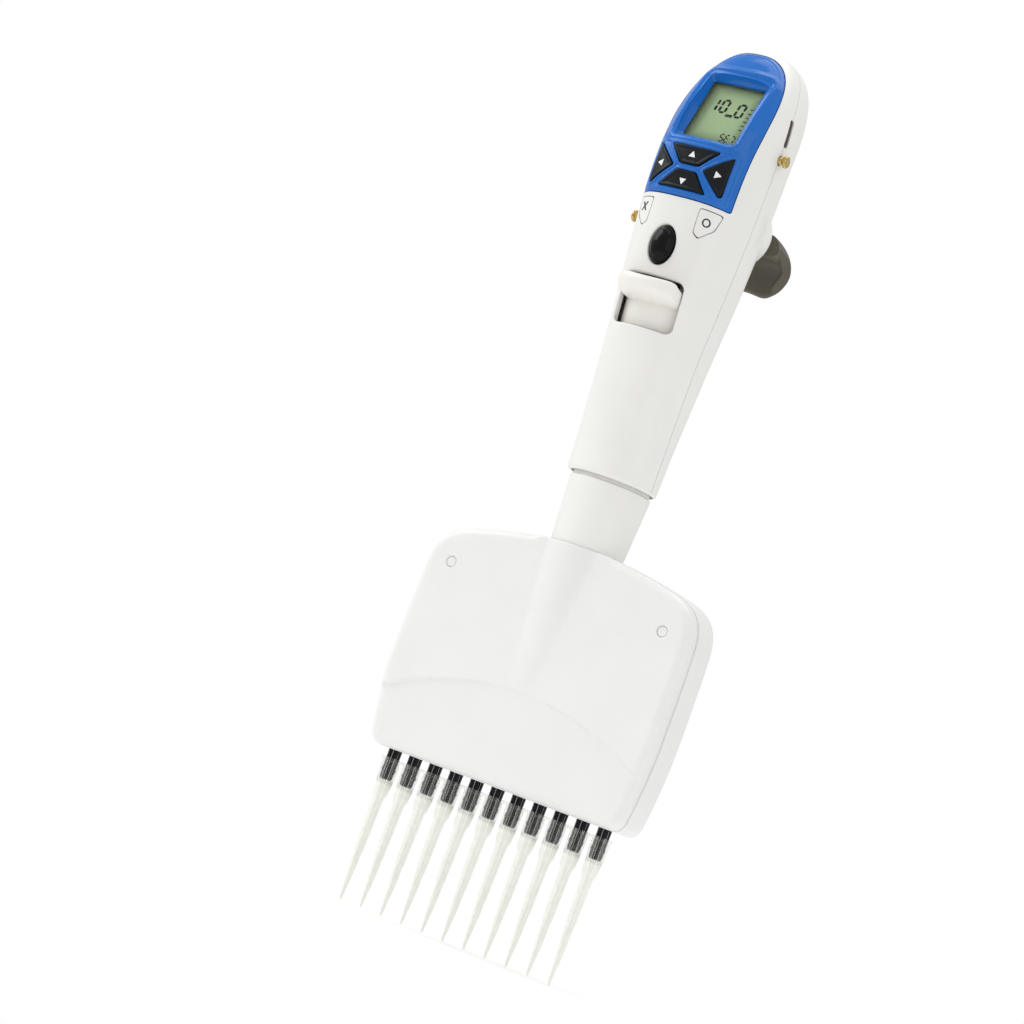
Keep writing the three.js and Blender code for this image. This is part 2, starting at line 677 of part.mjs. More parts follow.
function coverHoles() {
  const { x, z } = COVER_SCREW;
  const screws = [-1, 1].flatMap((side) => [
    pin(2.2, -15, COVER_FRONT + 2.3, side * x, z),
    pin(1.5, -12, 9, side * x, z, 10),
  ]);
  const nozzles = eachChannel((i, px) => rod(2.95, 50, 60, 10).translate(px, 0, 0));
  return [...screws, ...nozzles];
}

function headCover(front) {
  const whole = cut(join(coverBody(), ...coverBosses()), ...coverHoles());
  const seam = COVER_SEAM;
  const [start, end] = front ? [-40, seam - GAP / 2] : [seam + GAP / 2, 40];
  const half = block(-70, 70, start, end, 40, 160);
  return common(whole, half);
}

function ejectorYoke() {
  const { bottom, top } = YOKE;
  const ends = [-1, 1].map((side) => block(side * 44.6 - 3.8, side * 44.6 + 3.8, -4, 4, 122, top));
  const holes = [-1, 1].map((side) => pin(1.5, -10, 10, side * COVER_SCREW.x, COVER_SCREW.z, 10));
  return cut(join(block(-46, 46, -5, 5, bottom, top), ...ends), rod(4, 120, 140), ...holes);
}

function coverScrew(side) {
  const [x, z] = [side * COVER_SCREW.x, COVER_SCREW.z];
  return join(pin(1.9, COVER_FRONT + 0.7, COVER_FRONT + 2, x, z), pin(1.2, COVER_FRONT + 1, 8.7, x, z, 10));
}

// ---------------------------------------------------------------- assembly
const pipette = new THREE.Group();

function add(name, geometry, material, parent = pipette) {
  const mesh = new THREE.Mesh(tidy(geometry), material);
  mesh.geometry.computeVertexNormals();
  mesh.name = name;
  parent.add(mesh);
  return mesh;
}

add('handle_front_shell', handleFrontShell(), shellWhite);
add('handle_rear_shell', handleRearShell(), shellWhite);
add('keypad_bezel', keypadBezel(), bezelBlue);
add('display_window', displayWindow(), lensClear);
add('display_module', displayModule(), displayGreen);
add('circuit_board', circuitBoard(), boardGreen);
add('switch_mat', switchMat(), darkPlastic);
add('battery_pack', batteryPack(), darkPlastic);
add('stepper_motor', stepperMotor(), motorGrey);
add('motor_bracket', motorBracket(), aluminium);
add('swivel_bearing', swivelBearing(), brass);
add('charging_post_right', chargingPost(1, POSTS.right), gold);
add('charging_post_left', chargingPost(-1, POSTS.left), gold);
add('data_port', dataPort(), darkPlastic);
add('finger_hook', fingerHook(), hookTaupe);
add('case_screw', caseScrew(), steel);

for (const name of Object.keys(ARROW_KEYS)) add(`key_${name}`, arrowKey(name), keyBlack);
add('cancel_key', cornerKey(-1), shellWhite);
add('enter_key', cornerKey(1), shellWhite);
add('trigger_button', triggerButton(), triggerBlack);

add('ejector_button', ejectorButton(), ejectorWhite);
add('ejector_carriage', ejectorCarriage(), darkPlastic);
add('ejector_tube', ejectorTube(), aluminium);
add('ejector_spring', ejectorSpring(), steel);
add('lead_screw', leadScrew(), steel);

add('swivel_neck', swivelNeck(), shellWhite);
add('neck_ring', neckRing(), steel);
add('head_frame', headFrame(), aluminium);
add('cylinder_block', cylinderBlock(), aluminium);
add('piston_comb', pistonComb(), steel);

add('head_front_cover', headCover(true), headWhite);
add('head_rear_cover', headCover(false), headWhite);
add('ejector_yoke', ejectorYoke(), aluminium);
add('cover_screw_right', coverScrew(1), headWhite);
add('cover_screw_left', coverScrew(-1), headWhite);

eachChannel((i, x) => {
  const number = String(i + 1).padStart(2, '0');
  add(`nozzle_${number}`, nozzle(), nozzleBlack).position.set(x, 0, 0);
  add(`tip_${number}`, tip(), tipClear).position.set(x, 0, 0);
});

export default pipette;
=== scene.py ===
"""Looks for a hand-held electronic multichannel pipette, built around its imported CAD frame.

Shapes are written in millimetres in the row frame (X along the tips, -Y the front, +Z up)
and turned into metres when a mesh is made.
"""

import json
import math

import bmesh
import bpy
import numpy as np
from mathutils import Matrix, Vector


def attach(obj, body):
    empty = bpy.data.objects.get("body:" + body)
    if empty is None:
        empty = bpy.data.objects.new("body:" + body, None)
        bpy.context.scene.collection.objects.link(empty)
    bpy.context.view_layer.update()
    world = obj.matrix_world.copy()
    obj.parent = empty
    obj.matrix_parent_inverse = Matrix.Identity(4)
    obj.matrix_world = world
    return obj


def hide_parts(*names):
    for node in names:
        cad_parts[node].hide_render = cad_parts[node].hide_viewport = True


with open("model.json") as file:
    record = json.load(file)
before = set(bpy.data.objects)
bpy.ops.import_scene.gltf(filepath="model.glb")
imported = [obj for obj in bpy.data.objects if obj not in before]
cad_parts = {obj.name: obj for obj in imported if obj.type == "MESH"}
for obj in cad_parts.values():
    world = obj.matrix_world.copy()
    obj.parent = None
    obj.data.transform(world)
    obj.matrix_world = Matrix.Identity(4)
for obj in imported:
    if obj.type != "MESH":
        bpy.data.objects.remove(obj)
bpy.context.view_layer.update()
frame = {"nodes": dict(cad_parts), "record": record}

MM = 0.001
GAP = 0.3
WALL = 2.2
SMOOTH_ANGLE = math.radians(38)
FAR_FRONT = -60  # in front of every piece, for cutting tools

CHANNELS = 11
PITCH = 9
CHANNEL_X = [(i - (CHANNELS - 1) / 2) * PITCH for i in range(CHANNELS)]

# ---------------------------------------------------------------- dimensions shared with the CAD
RIM = 172.8
SPRING_LINE = 303.3
HANDLE_TOP = 340.3
ARCH_POWER = 2.3
STATION_Z = [RIM, 183, 194, 208, 223, 250, 273, 290, SPRING_LINE, 318, 330, 336, 339, HANDLE_TOP]
STATION = {
    "half": [16.8, 16.9, 17.0, 17.1, 17.5, 19.4, 20.6, 21, 21, 21, 21, 21, 21, 21],
    "front": [-16.8, -17.8, -19.3, -21.3, -23.5, -26.8, -28.6, -28.2, -25.8, -19.6, -13.4, -9, -4.5, 0.5],
    "back": [16.8, 17.2, 17.7, 19, 20, 20.4, 19.4, 18.2, 18.4, 19.6, 19.4, 17.4, 14.4, 8.4],
    "square": [2, 2.05, 2.15, 2.3, 2.4, 2.5, 2.7, 2.9, 2.9, 2.9, 2.9, 2.9, 2.9, 2.9],
}
SEAM_Z = [RIM, 295, 318, HANDLE_TOP]
SEAM_Y = [-1.3, -6, -4.5, 4]

BEZEL = {"half": 18.4, "foot": 17.7, "bottom": 274.1, "top": 336.2, "back": -6, "power": 2.6}
WINDOW = {"half": 12.1, "bottom": 226.3, "top": 245, "radius": 3}
TRIGGER = {"half": 4.7, "tall": 7, "z": 256}
DISPLAY = {"half": 10.6, "tall": 12.7, "y": -17.1, "z": 309.7, "lean": math.radians(20.7)}
KEY_BACK = -18.4
KEY_RISE = 1.1
ARROW_KEYS = {
    "up": [(-3.6, 286), (3.6, 286), (9.6, 292.6), (-9.6, 292.6)],
    "down": [(-9.4, 276.6), (9.4, 276.6), (3.6, 283.3), (-3.6, 283.3)],
    "right": [(6.3, 284.7), (13.9, 277.4), (14.8, 278.2), (14.8, 292.2)],
    "left": [(-14.8, 292.2), (-14.8, 278.2), (-13.9, 277.4), (-6.3, 284.7)],
}
CORNER_KEY = [(9.6, 271.8), (9.6, 263.2), (11.6, 261.6), (15.2, 265.8), (16.6, 271.8)]
SLOT = {"y": -5, "half": 1.6, "bottom": 305.8, "top": 316.2}
POSTS = {"right": (1, -5.2, 300.8), "left": (-1, -11.8, 267.1)}
EJECT_TRAVEL = 9
CASE_SCREW_Z = 198

NECK_BOTTOM = 110.3
NECK_RADIUS = 15.2
NECK_SLOPE = 0.064
NECK_BORE = 9.6
NOZZLE_END = 45.7
TIP_TOP = 53.8
COVER_FLOOR = 57.3
COVER_TOP = 146.6
COVER_FRONT = -11.5
COVER_BACK = 12
COVER_SEAM = -3.6
COVER_SCREW = (44.6, 127.5)


# ---------------------------------------------------------------- meshes
def make_object(name, points, faces):
    """An object from points in millimetres, with its faces turned outwards."""
    mesh = bpy.data.meshes.new(name)
    mesh.from_pydata([tuple(p) for p in np.asarray(points) * MM], [], faces)
    work = bmesh.new()
    work.from_mesh(mesh)
    bmesh.ops.remove_doubles(work, verts=work.verts, dist=1e-7)
    bmesh.ops.recalc_face_normals(work, faces=work.faces)
    work.to_mesh(mesh)
    work.free()
    thing = bpy.data.objects.new(name, mesh)
    bpy.context.scene.collection.objects.link(thing)
    return thing


def faces_between(k, n, around):
    """The faces that join ring k to ring n."""
    k, n = k * around, n * around
    return [(k + i, k + (i + 1) % around, n + (i + 1) % around, n + i) for i in range(around)]


def ring_solid(name, rings):
    """A closed solid from rings of equal length; the two end rings are closed by fans."""
    rings = np.asarray(rings, float)
    count, around = rings.shape[:2]
    points = np.vstack([rings.reshape(-1, 3), rings[0].mean(0), rings[-1].mean(0)])
    first, last = count * around, count * around + 1
    faces = [face for k in range(count - 1) for face in faces_between(k, k + 1, around)]
    for i in range(around):
        j = (i + 1) % around
        faces.append((first, j, i))
        faces.append((last, (count - 1) * around + i, (count - 1) * around + j))
    return make_object(name, points, faces)


def loop_solid(name, rings):
    """A solid from rings that close on each other, such as a turned tube."""
    rings = np.asarray(rings, float)
    count, around = rings.shape[:2]
    faces = [face for k in range(count) for face in faces_between(k, (k + 1) % count, around)]
    return make_object(name, rings.reshape(-1, 3), faces)


def boolean(target, tools, operation="DIFFERENCE"):
    for tool in tools:
        step = target.modifiers.new("step", "BOOLEAN")
        step.operation = operation
        step.solver = "MANIFOLD"
        step.object = tool
    bpy.context.view_layer.update()
    graph = bpy.context.evaluated_depsgraph_get()
    mesh = bpy.data.meshes.new_from_object(target.evaluated_get(graph))
    target.modifiers.clear()
    target.data = mesh
    for tool in tools:
        bpy.data.objects.remove(tool)
    return target


def circle(count):
    """The cosines and sines of evenly spaced angles around a full turn."""
    angles = np.linspace(0, 2 * math.pi, count, endpoint=False)
    return np.cos(angles), np.sin(angles)


def turned(name, profile, segments=48, closed=False):
    """A solid turned about Z from [radius, height] points."""
    cos, sin = circle(segments)
    rings = [np.stack([r * cos, r * sin, np.full(segments, z)], 1) for r, z in profile]
    return loop_solid(name, rings) if closed else ring_solid(name, rings)


def prism(name, outline, front, back):
    """A solid along Y from an outline in the XZ plane, between two places that may follow the outline."""
    return ring_solid(name, [ring_at(outline, front), ring_at(outline, back)])


def along_x(name, profile, near, far):
    """A solid along X from a profile in the YZ plane, between two places that may follow the profile."""
    ring = lambda x: np.stack([np.broadcast_to(x, len(profile)), profile[:, 0], profile[:, 1]], 1)
    return ring_solid(name, [ring(near), ring(far)])


def pin(name, radius, front, back, x, z, segments=40):
    """A cylinder along Y."""
    return prism(name, oval(radius, radius, z, segments, x), front, back)


def block(name, x0, x1, y0, y1, z0, z1):
    return prism(name, np.array([(x0, z0), (x1, z0), (x1, z1), (x0, z1)], float), y0, y1)


# ---------------------------------------------------------------- outlines in the XZ plane
def spaced(line, count, endpoint=True):
    """Evenly spaced points along an open line."""
    length = np.concatenate([[0], np.cumsum(np.hypot(*np.diff(line, axis=0).T))])
    at = np.linspace(0, length[-1], count, endpoint=endpoint)
    return np.stack([np.interp(at, length, line[:, k]) for k in (0, 1)], 1)


def resample(outline, count):
    """The same closed outline with evenly spaced points."""
    points = np.asarray(outline, float)
    return spaced(np.vstack([points, points[:1]]), count, endpoint=False)


def quadratic(a, b, c, steps=10):
    t = np.linspace(0, 1, steps)[:, None]
    a, b, c = (np.asarray(p, float) for p in (a, b, c))
    return (1 - t) ** 2 * a + 2 * t * (1 - t) * b + t * t * c


def bezier(a, b, c, d, steps=20):
    t = np.linspace(0, 1, steps)[:, None]
    a, b, c, d = (np.asarray(p, float) for p in (a, b, c, d))
    return (1 - t) ** 3 * a + 3 * t * (1 - t) ** 2 * b + 3 * t * t * (1 - t) * c + t**3 * d


def rounded(points, radius, count=120):
    """A polygon with each corner turned into a curve starting `radius` from it, or less on a short side."""
    corners = np.asarray(points, float)
    parts = []
    for i, corner in enumerate(corners):
        ends = []
        for other in (corners[i - 1], corners[(i + 1) % len(corners)]):
            way = other - corner
            length = np.hypot(*way)
            ends.append(corner + way / length * min(radius, 0.4 * length))
        parts.append(quadratic(ends[0], corner, ends[1]))
    return resample(np.vstack(parts), count)


def rectangle(x0, x1, z0, z1, radius, count):
    return rounded([(x0, z0), (x1, z0), (x1, z1), (x0, z1)], radius, count)


def oval(half, tall, z, count=120, x=0):
    cos, sin = circle(count)
    return np.stack([x + half * cos, z + tall * sin], 1)


def offset(outline, distance):
    """A counterclockwise outline moved outwards by a distance, or by one for each point."""
    along = np.roll(outline, -1, axis=0) - np.roll(outline, 1, axis=0)
    along /= np.hypot(*along.T)[:, None]
    outward = np.stack([along[:, 1], -along[:, 0]], 1)
    return outline + outward * np.broadcast_to(distance, len(outline))[:, None]


def signed_distance(outline, x, z):
    """Distance to a closed outline, negative inside."""
    best = np.full(x.shape, 1e9)
    inside = np.zeros(x.shape, bool)
    for (ax, az), (bx, bz) in zip(outline, np.roll(outline, -1, axis=0)):
        ex, ez = bx - ax, bz - az
        t = np.clip(((x - ax) * ex + (z - az) * ez) / (ex * ex + ez * ez), 0, 1)
        best = np.minimum(best, np.hypot(x - ax - t * ex, z - az - t * ez))
        if ez:
            inside ^= ((az > z) != (bz > z)) & (x < ax + (z - az) * ex / ez)
    return np.where(inside, -best, best)


def hump(d, centre, width):
    return np.exp(-(((d - centre) / width) ** 2))


def ease(t):
    t = np.clip(t, 0, 1)
    return t * t * (3 - 2 * t)


def ring_at(outline, y):
    return np.stack([outline[:, 0], np.broadcast_to(y, len(outline)), outline[:, 1]], 1)


ROUND_STEPS = 6


def capped(name, outline, top, back, radius=0.4, inner=10):
    """A solid behind an outline: its front face follows top(x, z) and its front edge is rounded."""
    centre = outline.mean(0)
    at = lambda line, drop: ring_at(line, top(line[:, 0], line[:, 1]) + drop)
    rings = [ring_at(outline, back)]
    for angle in np.linspace(0, math.pi / 2, ROUND_STEPS):
        line = offset(outline, -radius * (1 - math.cos(angle)))
        rings.append(at(line, radius * (1 - math.sin(angle))))
    last = offset(outline, -radius)
    for share in np.linspace(1, 0, inner, endpoint=False)[1:]:
        line = centre + (last - centre) * share
        rings.append(at(line, 0))
    return ring_solid(name, rings)


def cutter(outline, top, back, radius=0.4, proud=4):
    """A cutting tool for an opening whose outer edge is rounded over."""
    at = lambda line, drop: ring_at(line, top(line[:, 0], line[:, 1]) + drop)
    rings = [ring_at(outline, back)]
    for angle in np.linspace(0, math.radians(78), ROUND_STEPS):
        line = offset(outline, radius * (1 - math.cos(angle)))
        rings.append(at(line, radius * (1 - math.sin(angle))))
    rings.append(at(line, -proud))
    return ring_solid("cutter", rings)


# ---------------------------------------------------------------- the handle's form
def between(zs, values, z):
    """A smooth value between stations, as a cubic with central slopes."""
    zs, values, z = np.asarray(zs, float), np.asarray(values, float), np.asarray(z, float)
    low = np.maximum(np.arange(len(zs)) - 1, 0)
    high = np.minimum(np.arange(len(zs)) + 1, len(zs) - 1)
    slope = (values[high] - values[low]) / (zs[high] - zs[low])
    i = np.clip(np.searchsorted(zs, z, side="right") - 1, 0, len(zs) - 2)
    span = zs[i + 1] - zs[i]
    t = np.clip((z - zs[i]) / span, 0, 1)
    t2, t3 = t * t, t**3
    return (
        (2 * t3 - 3 * t2 + 1) * values[i]
        + (t3 - 2 * t2 + t) * span * slope[i]
        + (3 * t2 - 2 * t3) * values[i + 1]
        + (t3 - t2) * span * slope[i + 1]
    )


def arch(z, rise):
    u = np.clip((z - SPRING_LINE) / rise, 0, 1)
    return (1 - u**ARCH_POWER) ** (1 / ARCH_POWER)


def seam_y(z):
    return between(SEAM_Z, SEAM_Y, z)


def section(z, inset=0.0):
    """Half width, seam, front, back and squareness of the handle's section at height z."""
    z = np.asarray(z, float)
    rise = HANDLE_TOP - SPRING_LINE
    level = np.where(z <= SPRING_LINE, z, SPRING_LINE + (z - SPRING_LINE) * rise / (rise - inset))
    half = between(STATION_Z, STATION["half"], level) * arch(level, rise + 0.01) - inset
    front = between(STATION_Z, STATION["front"], level) + inset
    back = between(STATION_Z, STATION["back"], level) - inset
    return np.maximum(half, 0.4), seam_y(level), front, back, between(STATION_Z, STATION["square"], level)


def front_y(x, z, inset=0.0):
    """Where the handle's front surface is at (x, z)."""
    half, seam, front, _, square = section(z, inset)
    u = np.clip(np.abs(x) / half, 0, 1)
    return seam - (seam - front) * (1 - u**square) ** (1 / square)


BOSS = {"radii": (19.6, 15.5, 16), "y": 10, "z": 276, "face": 24}


def smooth_min(a, b, soft):
    h = np.clip(0.5 + 0.5 * (b - a) / soft, 0, 1)
    return b * (1 - h) + a * h - soft * h * (1 - h)


def with_boss(x, y, z):
    """The handle's back, joined smoothly with the boss that carries the finger hook."""
    wide, deep, tall = BOSS["radii"]
    away = np.hypot(x / wide, (z - BOSS["z"]) / tall)
    boss = BOSS["y"] + deep * np.sqrt(np.clip(1 - away**2, 0, 1))
    # its rim falls away steeply, so that the blend leaves no step around it
    boss -= 40 * np.clip(away - 0.9, 0, 1)
    boss = smooth_min(boss, BOSS["face"], 1.5)
    return -smooth_min(-y, -boss, 3.0)


def handle_levels(bottom, top, step=1.3):
    straight = np.arange(bottom, SPRING_LINE, step)
    angles = np.linspace(0, math.pi / 2, 46)
    curved = SPRING_LINE + (HANDLE_TOP - SPRING_LINE) * np.sin(angles) ** (2 / ARCH_POWER)
    return np.concatenate([straight, curved[curved < top - 0.02], [top]])


def handle_form(name, bottom, top, inset=0.0, soften=0.0, around=200, boss=False):
    """The handle's form between two heights, with its lower edge rounded by `soften`."""
    levels = handle_levels(bottom + soften, top)
    insets = np.full(len(levels), inset)
    if soften:
        angles = np.linspace(0, math.pi / 2, ROUND_STEPS, endpoint=False)
        levels = np.unique(np.concatenate([bottom + soften * (1 - np.sin(angles)), levels]))
        below = np.clip((bottom + soften - levels) / soften, 0, 1)
        insets = inset + soften * (1 - np.sqrt(1 - below**2))
    cos, sin = circle(around)
    rings = []
    for z, own in zip(levels, insets):
        half, seam, front, back, square = section(z, own)
        power = 2 / square
        depth = np.where(sin < 0, seam - front, back - seam)
        x = half * np.sign(cos) * np.abs(cos) ** power
        y = seam + np.maximum(depth, 0.4) * np.sign(sin) * np.abs(sin) ** power
        if boss:
            y = np.where(sin > 0, with_boss(x, y, z), y)
        rings.append(np.stack([x, y, np.full(around, z)], 1))
    return ring_solid(name, rings)


def in_front_of_seam(shift):
    z = np.concatenate([[160], np.linspace(RIM - 2, HANDLE_TOP + 2, 60), [350]])
    edge = np.stack([seam_y(z) + shift, z], 1)
    profile = np.vstack([edge, [(FAR_FRONT, 350), (FAR_FRONT, 160)]])
    return along_x("front", profile, -40, 40)


# ---------------------------------------------------------------- outlines on the handle's front
def bezel_outline(grow=0.0, count=360):
    half, rise = BEZEL["half"] + grow, BEZEL["top"] - SPRING_LINE + grow
    foot, low = BEZEL["foot"] + grow, BEZEL["bottom"] - grow
    angles = np.linspace(0, math.pi / 2, 60)
    power = 2 / BEZEL["power"]
    arched = np.stack([half * np.cos(angles) ** power, SPRING_LINE + rise * np.sin(angles) ** power], 1)
    corner = quadratic((foot - 0.9, low), (foot, low), (foot + 0.03, low + 0.9), 6)
    right = np.vstack([corner, arched])
    return resample(np.vstack([right, right[::-1] * (-1, 1)]), count)


def grown(points, grow):
    points = np.asarray(points, float)
    centre = points.mean(0)
    away = points - centre
    length = np.hypot(*away.T)[:, None]
    return centre + away * (length + grow * 1.5) / length


def counterclockwise(points):
    x, z = points.T
    twice_area = np.sum(x * np.roll(z, -1) - np.roll(x, -1) * z)
    return points if twice_area > 0 else points[::-1]


def corner_key_outline(side, grow=0.0, count=120):
    return rounded(counterclockwise(grown(CORNER_KEY, grow) * (side, 1)), 1.1, count)


def arrow_key_outline(name, grow=0.0, count=140):
    return rounded(grown(ARROW_KEYS[name], grow), 0.8, count)


def window_outline(grow=0.0):
    x, low, high = WINDOW["half"] + grow, WINDOW["bottom"] - grow, WINDOW["top"] + grow
    return rectangle(-x, x, low, high, WINDOW["radius"], 160)


def slot_profile(shrink, radius):
    half = SLOT["half"] - shrink
    y0, y1 = SLOT["y"] - half, SLOT["y"] + half
    return rectangle(y0, y1, SLOT["bottom"] + shrink, SLOT["top"] - shrink, radius, 60)


def slot_cutter():
    return along_x("slot", slot_profile(0, 1.0), 14, 26)


SOCKET_DEPTH = 0.5  # how far the dark socket stays below the shell's surface


def slot_lining():
    """The dark socket that fills the slot, a little below the shell's surface."""
    profile = slot_profile(0.1, 0.9)
    surface = section(profile[:, 1])[0]
    return along_x("slot_lining", profile, surface - 4, surface - SOCKET_DEPTH)


POST_HOLE_RADIUS = 1.9


def post_hole(side, y, z):
    return along_x("hole", oval(POST_HOLE_RADIUS, POST_HOLE_RADIUS, z, 40, y), side * 14, side * 28)


def handle_hollow():
    inner = handle_form("hollow", RIM + 1.8, HANDLE_TOP - WALL, WALL, around=120)
    bore = turned("bore", [(15.6, RIM - 3), (15.6, RIM + 3.2)], 96)
    return [inner, bore]


def side_openings():
    return [slot_cutter()] + [post_hole(*post) for post in POSTS.values()]


# ---------------------------------------------------------------- handle pieces
def handle_front_shell():
    shell = handle_form("front_shell", RIM, HANDLE_TOP - 0.03, soften=1.4)
    boolean(shell, [in_front_of_seam(-GAP / 2)], "INTERSECT")
    tools = handle_hollow() + side_openings()
    tools.append(cutter(bezel_outline(GAP), front_y, BEZEL["back"] + GAP, 0.35, 12))
    tools.append(cutter(window_outline(), front_y, -5, 0.7))
    trigger_hole = oval(TRIGGER["half"] + GAP, TRIGGER["tall"] + GAP, TRIGGER["z"])
    tools.append(cutter(trigger_hole, front_y, -10, 0.7))
    tools += [cutter(corner_key_outline(side, GAP), front_y, -8, 0.18) for side in (1, -1)]
    return boolean(shell, tools)


def handle_rear_shell():
    shell = handle_form("rear_shell", RIM, HANDLE_TOP - 0.03, soften=1.4, boss=True)
    tools = [in_front_of_seam(GAP / 2)] + handle_hollow() + side_openings()
    tools.append(pin("screw hole", 2.6, 16.3, 30, 0, CASE_SCREW_Z))
    tools.append(pin("screw bore", 1.5, 5, 20, 0, CASE_SCREW_Z))
    return boolean(shell, tools)


LENS_DEPTH = 6.0
LIP = 2.5
LIP_DROP = 1.2  # how much lower the recess opens below the display


def display_point(x, out, up):
    """A point in the leaning display's own directions, in the row frame."""
    cos, sin = math.cos(DISPLAY["lean"]), math.sin(DISPLAY["lean"])
    return np.stack([
        np.asarray(x, float) + 0 * np.asarray(up, float),
        DISPLAY["y"] - out * cos + up * sin,
        DISPLAY["z"] + out * sin + up * cos,
    ], -1)


def display_ring(grow, out, radius=1.0, count=120):
    x, up = DISPLAY["half"] + grow, DISPLAY["tall"] + grow
    outline = rectangle(-x, x, -up, up, radius, count)
    return display_point(outline[:, 0], out, outline[:, 1])


def display_funnel():
    """The tool that opens the bezel over the display: straight at the lens, then flaring out."""
    steps = [
        (0, -3, 0.5), (0, 0.75, 0.5), (0.5, 1.4, 0.7), (1.6, 3.6, 1.3),
        (2.3, 5.2, 1.9), (3.4, 8.4, 2.6), (5.0, 13, 3),
    ]
    rings = []
    for grow, out, radius in steps:
        ring = display_ring(grow, out, radius)
        lowered = ring[:, 2] < DISPLAY["z"] + out * math.sin(DISPLAY["lean"])
        ring[:, 2] -= LIP_DROP * ease((out - 0.75) / 4) * lowered
        rings.append(ring)
    return ring_solid("funnel", rings)


def lip_outline():
    x, up = DISPLAY["half"] + LIP, (DISPLAY["tall"] + LIP) * math.cos(DISPLAY["lean"])
    middle = DISPLAY["z"] + LENS_DEPTH * math.sin(DISPLAY["lean"])
    return rectangle(-x, x, middle - up - LIP_DROP, middle + up, 2.6, 60)


def keypad_frame_outline():
    return rounded([(-16.4, 275.6), (16.4, 275.6), (16.2, 293.7), (-16.2, 293.7)], 2.0, 60)


def bezel_relief(x, z):
    """Height of the raised lips on the bezel, over the handle's own surface."""
    to_lip = signed_distance(lip_outline(), x, z)
    keys = [arrow_key_outline(name, GAP, 50) for name in ARROW_KEYS]
    to_key = np.min([signed_distance(key, x, z) for key in keys], axis=0)
    to_frame = signed_distance(keypad_frame_outline(), x, z)
    to_edge = -signed_distance(bezel_outline(0, 120), x, z)
    relief = 0.3 + 0.55 * hump(to_lip, 1.3, 0.9) - 0.55 * ease((0.7 - to_lip) / 1.6)
    relief += 0.5 * hump(to_key, 0.55, 0.55) + 0.28 * hump(to_frame, 0, 0.5)
    relief -= 0.45 * ease((0.9 - to_edge) / 0.7)
    return relief - 0.28 * hump(to_edge, 1.25, 0.22)


def keypad_bezel():
    """The blue frame: a height field with its lips in relief, trimmed to its outline."""
    xs = np.linspace(-BEZEL["half"] - 0.2, BEZEL["half"] + 0.2, 150)
    zs = np.linspace(BEZEL["bottom"] - 1, BEZEL["top"] + 1, 250)
    x, z = np.meshgrid(xs, zs)
    face = front_y(x, z) - bezel_relief(x, z)
    wall = signed_distance(lip_outline(), x, z) < 0.4
    lens_y = DISPLAY["y"] + (z - DISPLAY["z"]) * math.tan(DISPLAY["lean"]) - 0.75
    behind = np.where(wall, np.maximum(lens_y, face + 2.5), face + 2.5)
    rows, columns = x.shape
    points = np.concatenate([np.stack([x, y, z], -1).reshape(-1, 3) for y in (face, behind)])
    index = np.arange(rows * columns).reshape(rows, columns)
    a, b, c, d = index[:-1, :-1], index[:-1, 1:], index[1:, 1:], index[1:, :-1]
    quads = np.stack([a, b, c, d], -1).reshape(-1, 4)
    border = np.concatenate([index[0, :-1], index[:-1, -1], index[-1, :0:-1], index[:0:-1, 0]])
    back = rows * columns
    faces = quads.tolist() + (quads[:, ::-1] + back).tolist()
    for p, q in zip(border, np.roll(border, -1)):
        faces.append([p, q, q + back, p + back][::-1])
    bezel = make_object("bezel", points, faces)
    boolean(bezel, [prism("outline", bezel_outline(), FAR_FRONT, BEZEL["back"])], "INTERSECT")
    keys = [prism("key hole", arrow_key_outline(name, GAP), FAR_FRONT, -2) for name in ARROW_KEYS]
    return boolean(bezel, keys + [display_funnel()])


def key_top(x, z):
    return front_y(x, z) - KEY_RISE


def arrow_key(name):
    outline = arrow_key_outline(name)
    rim = lambda x, z: key_top(x, z) + 0.22 * ease((-signed_distance(outline, x, z) - 0.5) / 0.8)
    return capped(f"key {name}", outline, rim, KEY_BACK, 0.35, 16)


def corner_key(side):
    outline = corner_key_outline(side)
    return capped("corner key", outline, lambda x, z: front_y(x, z), KEY_BACK, 0.22, 8)


TRIGGER_DOME = {"radii": (6.4, 9.4, 9.4), "y": -21.2}


def trigger_top(x, z):
    """The dome of the trigger, with a fine groove near its edge."""
    wide, deep, tall = TRIGGER_DOME["radii"]
    up = z - TRIGGER["z"]
    spread = 1 - (x / wide) ** 2 - (up / tall) ** 2
    edge = (1 - np.hypot(x / TRIGGER["half"], up / TRIGGER["tall"])) * TRIGGER["half"]
    return TRIGGER_DOME["y"] - deep * np.sqrt(np.clip(spread, 0, 1)) + 0.22 * hump(edge, 0.85, 0.3)


def trigger_button():
    outline = oval(TRIGGER["half"], TRIGGER["tall"], TRIGGER["z"], 160)
    return capped("trigger", outline, trigger_top, -20.5, 0.4, 30)


def charging_post(side, y, z):
    """A gold post: a collar inside the shell, a shank, a waist and a rounded head."""
    shank = [(0.01, -6), (2.5, -6), (2.5, -4), (1.5, -4), (1.5, 0.5), (1.35, 0.8)]
    waist = [(1.25 + 0.95 * t * t, 1.0 + 0.9 * t) for t in np.linspace(0, 1, 8)]
    turns = np.linspace(-math.pi / 4, math.pi / 2, 10)
    head = [(1.4 + 0.85 * math.cos(a), 2.6 + 0.75 * math.sin(a)) for a in turns]
    post = turned("post", shank + waist + head + [(0.01, 3.5)], 48)
    surface = float(section(z)[0])
    turn = Matrix.Rotation(side * math.pi / 2, 4, "Y")
    post.data.transform(Matrix.Translation((side * surface * MM, y * MM, z * MM)) @ turn)
    return post


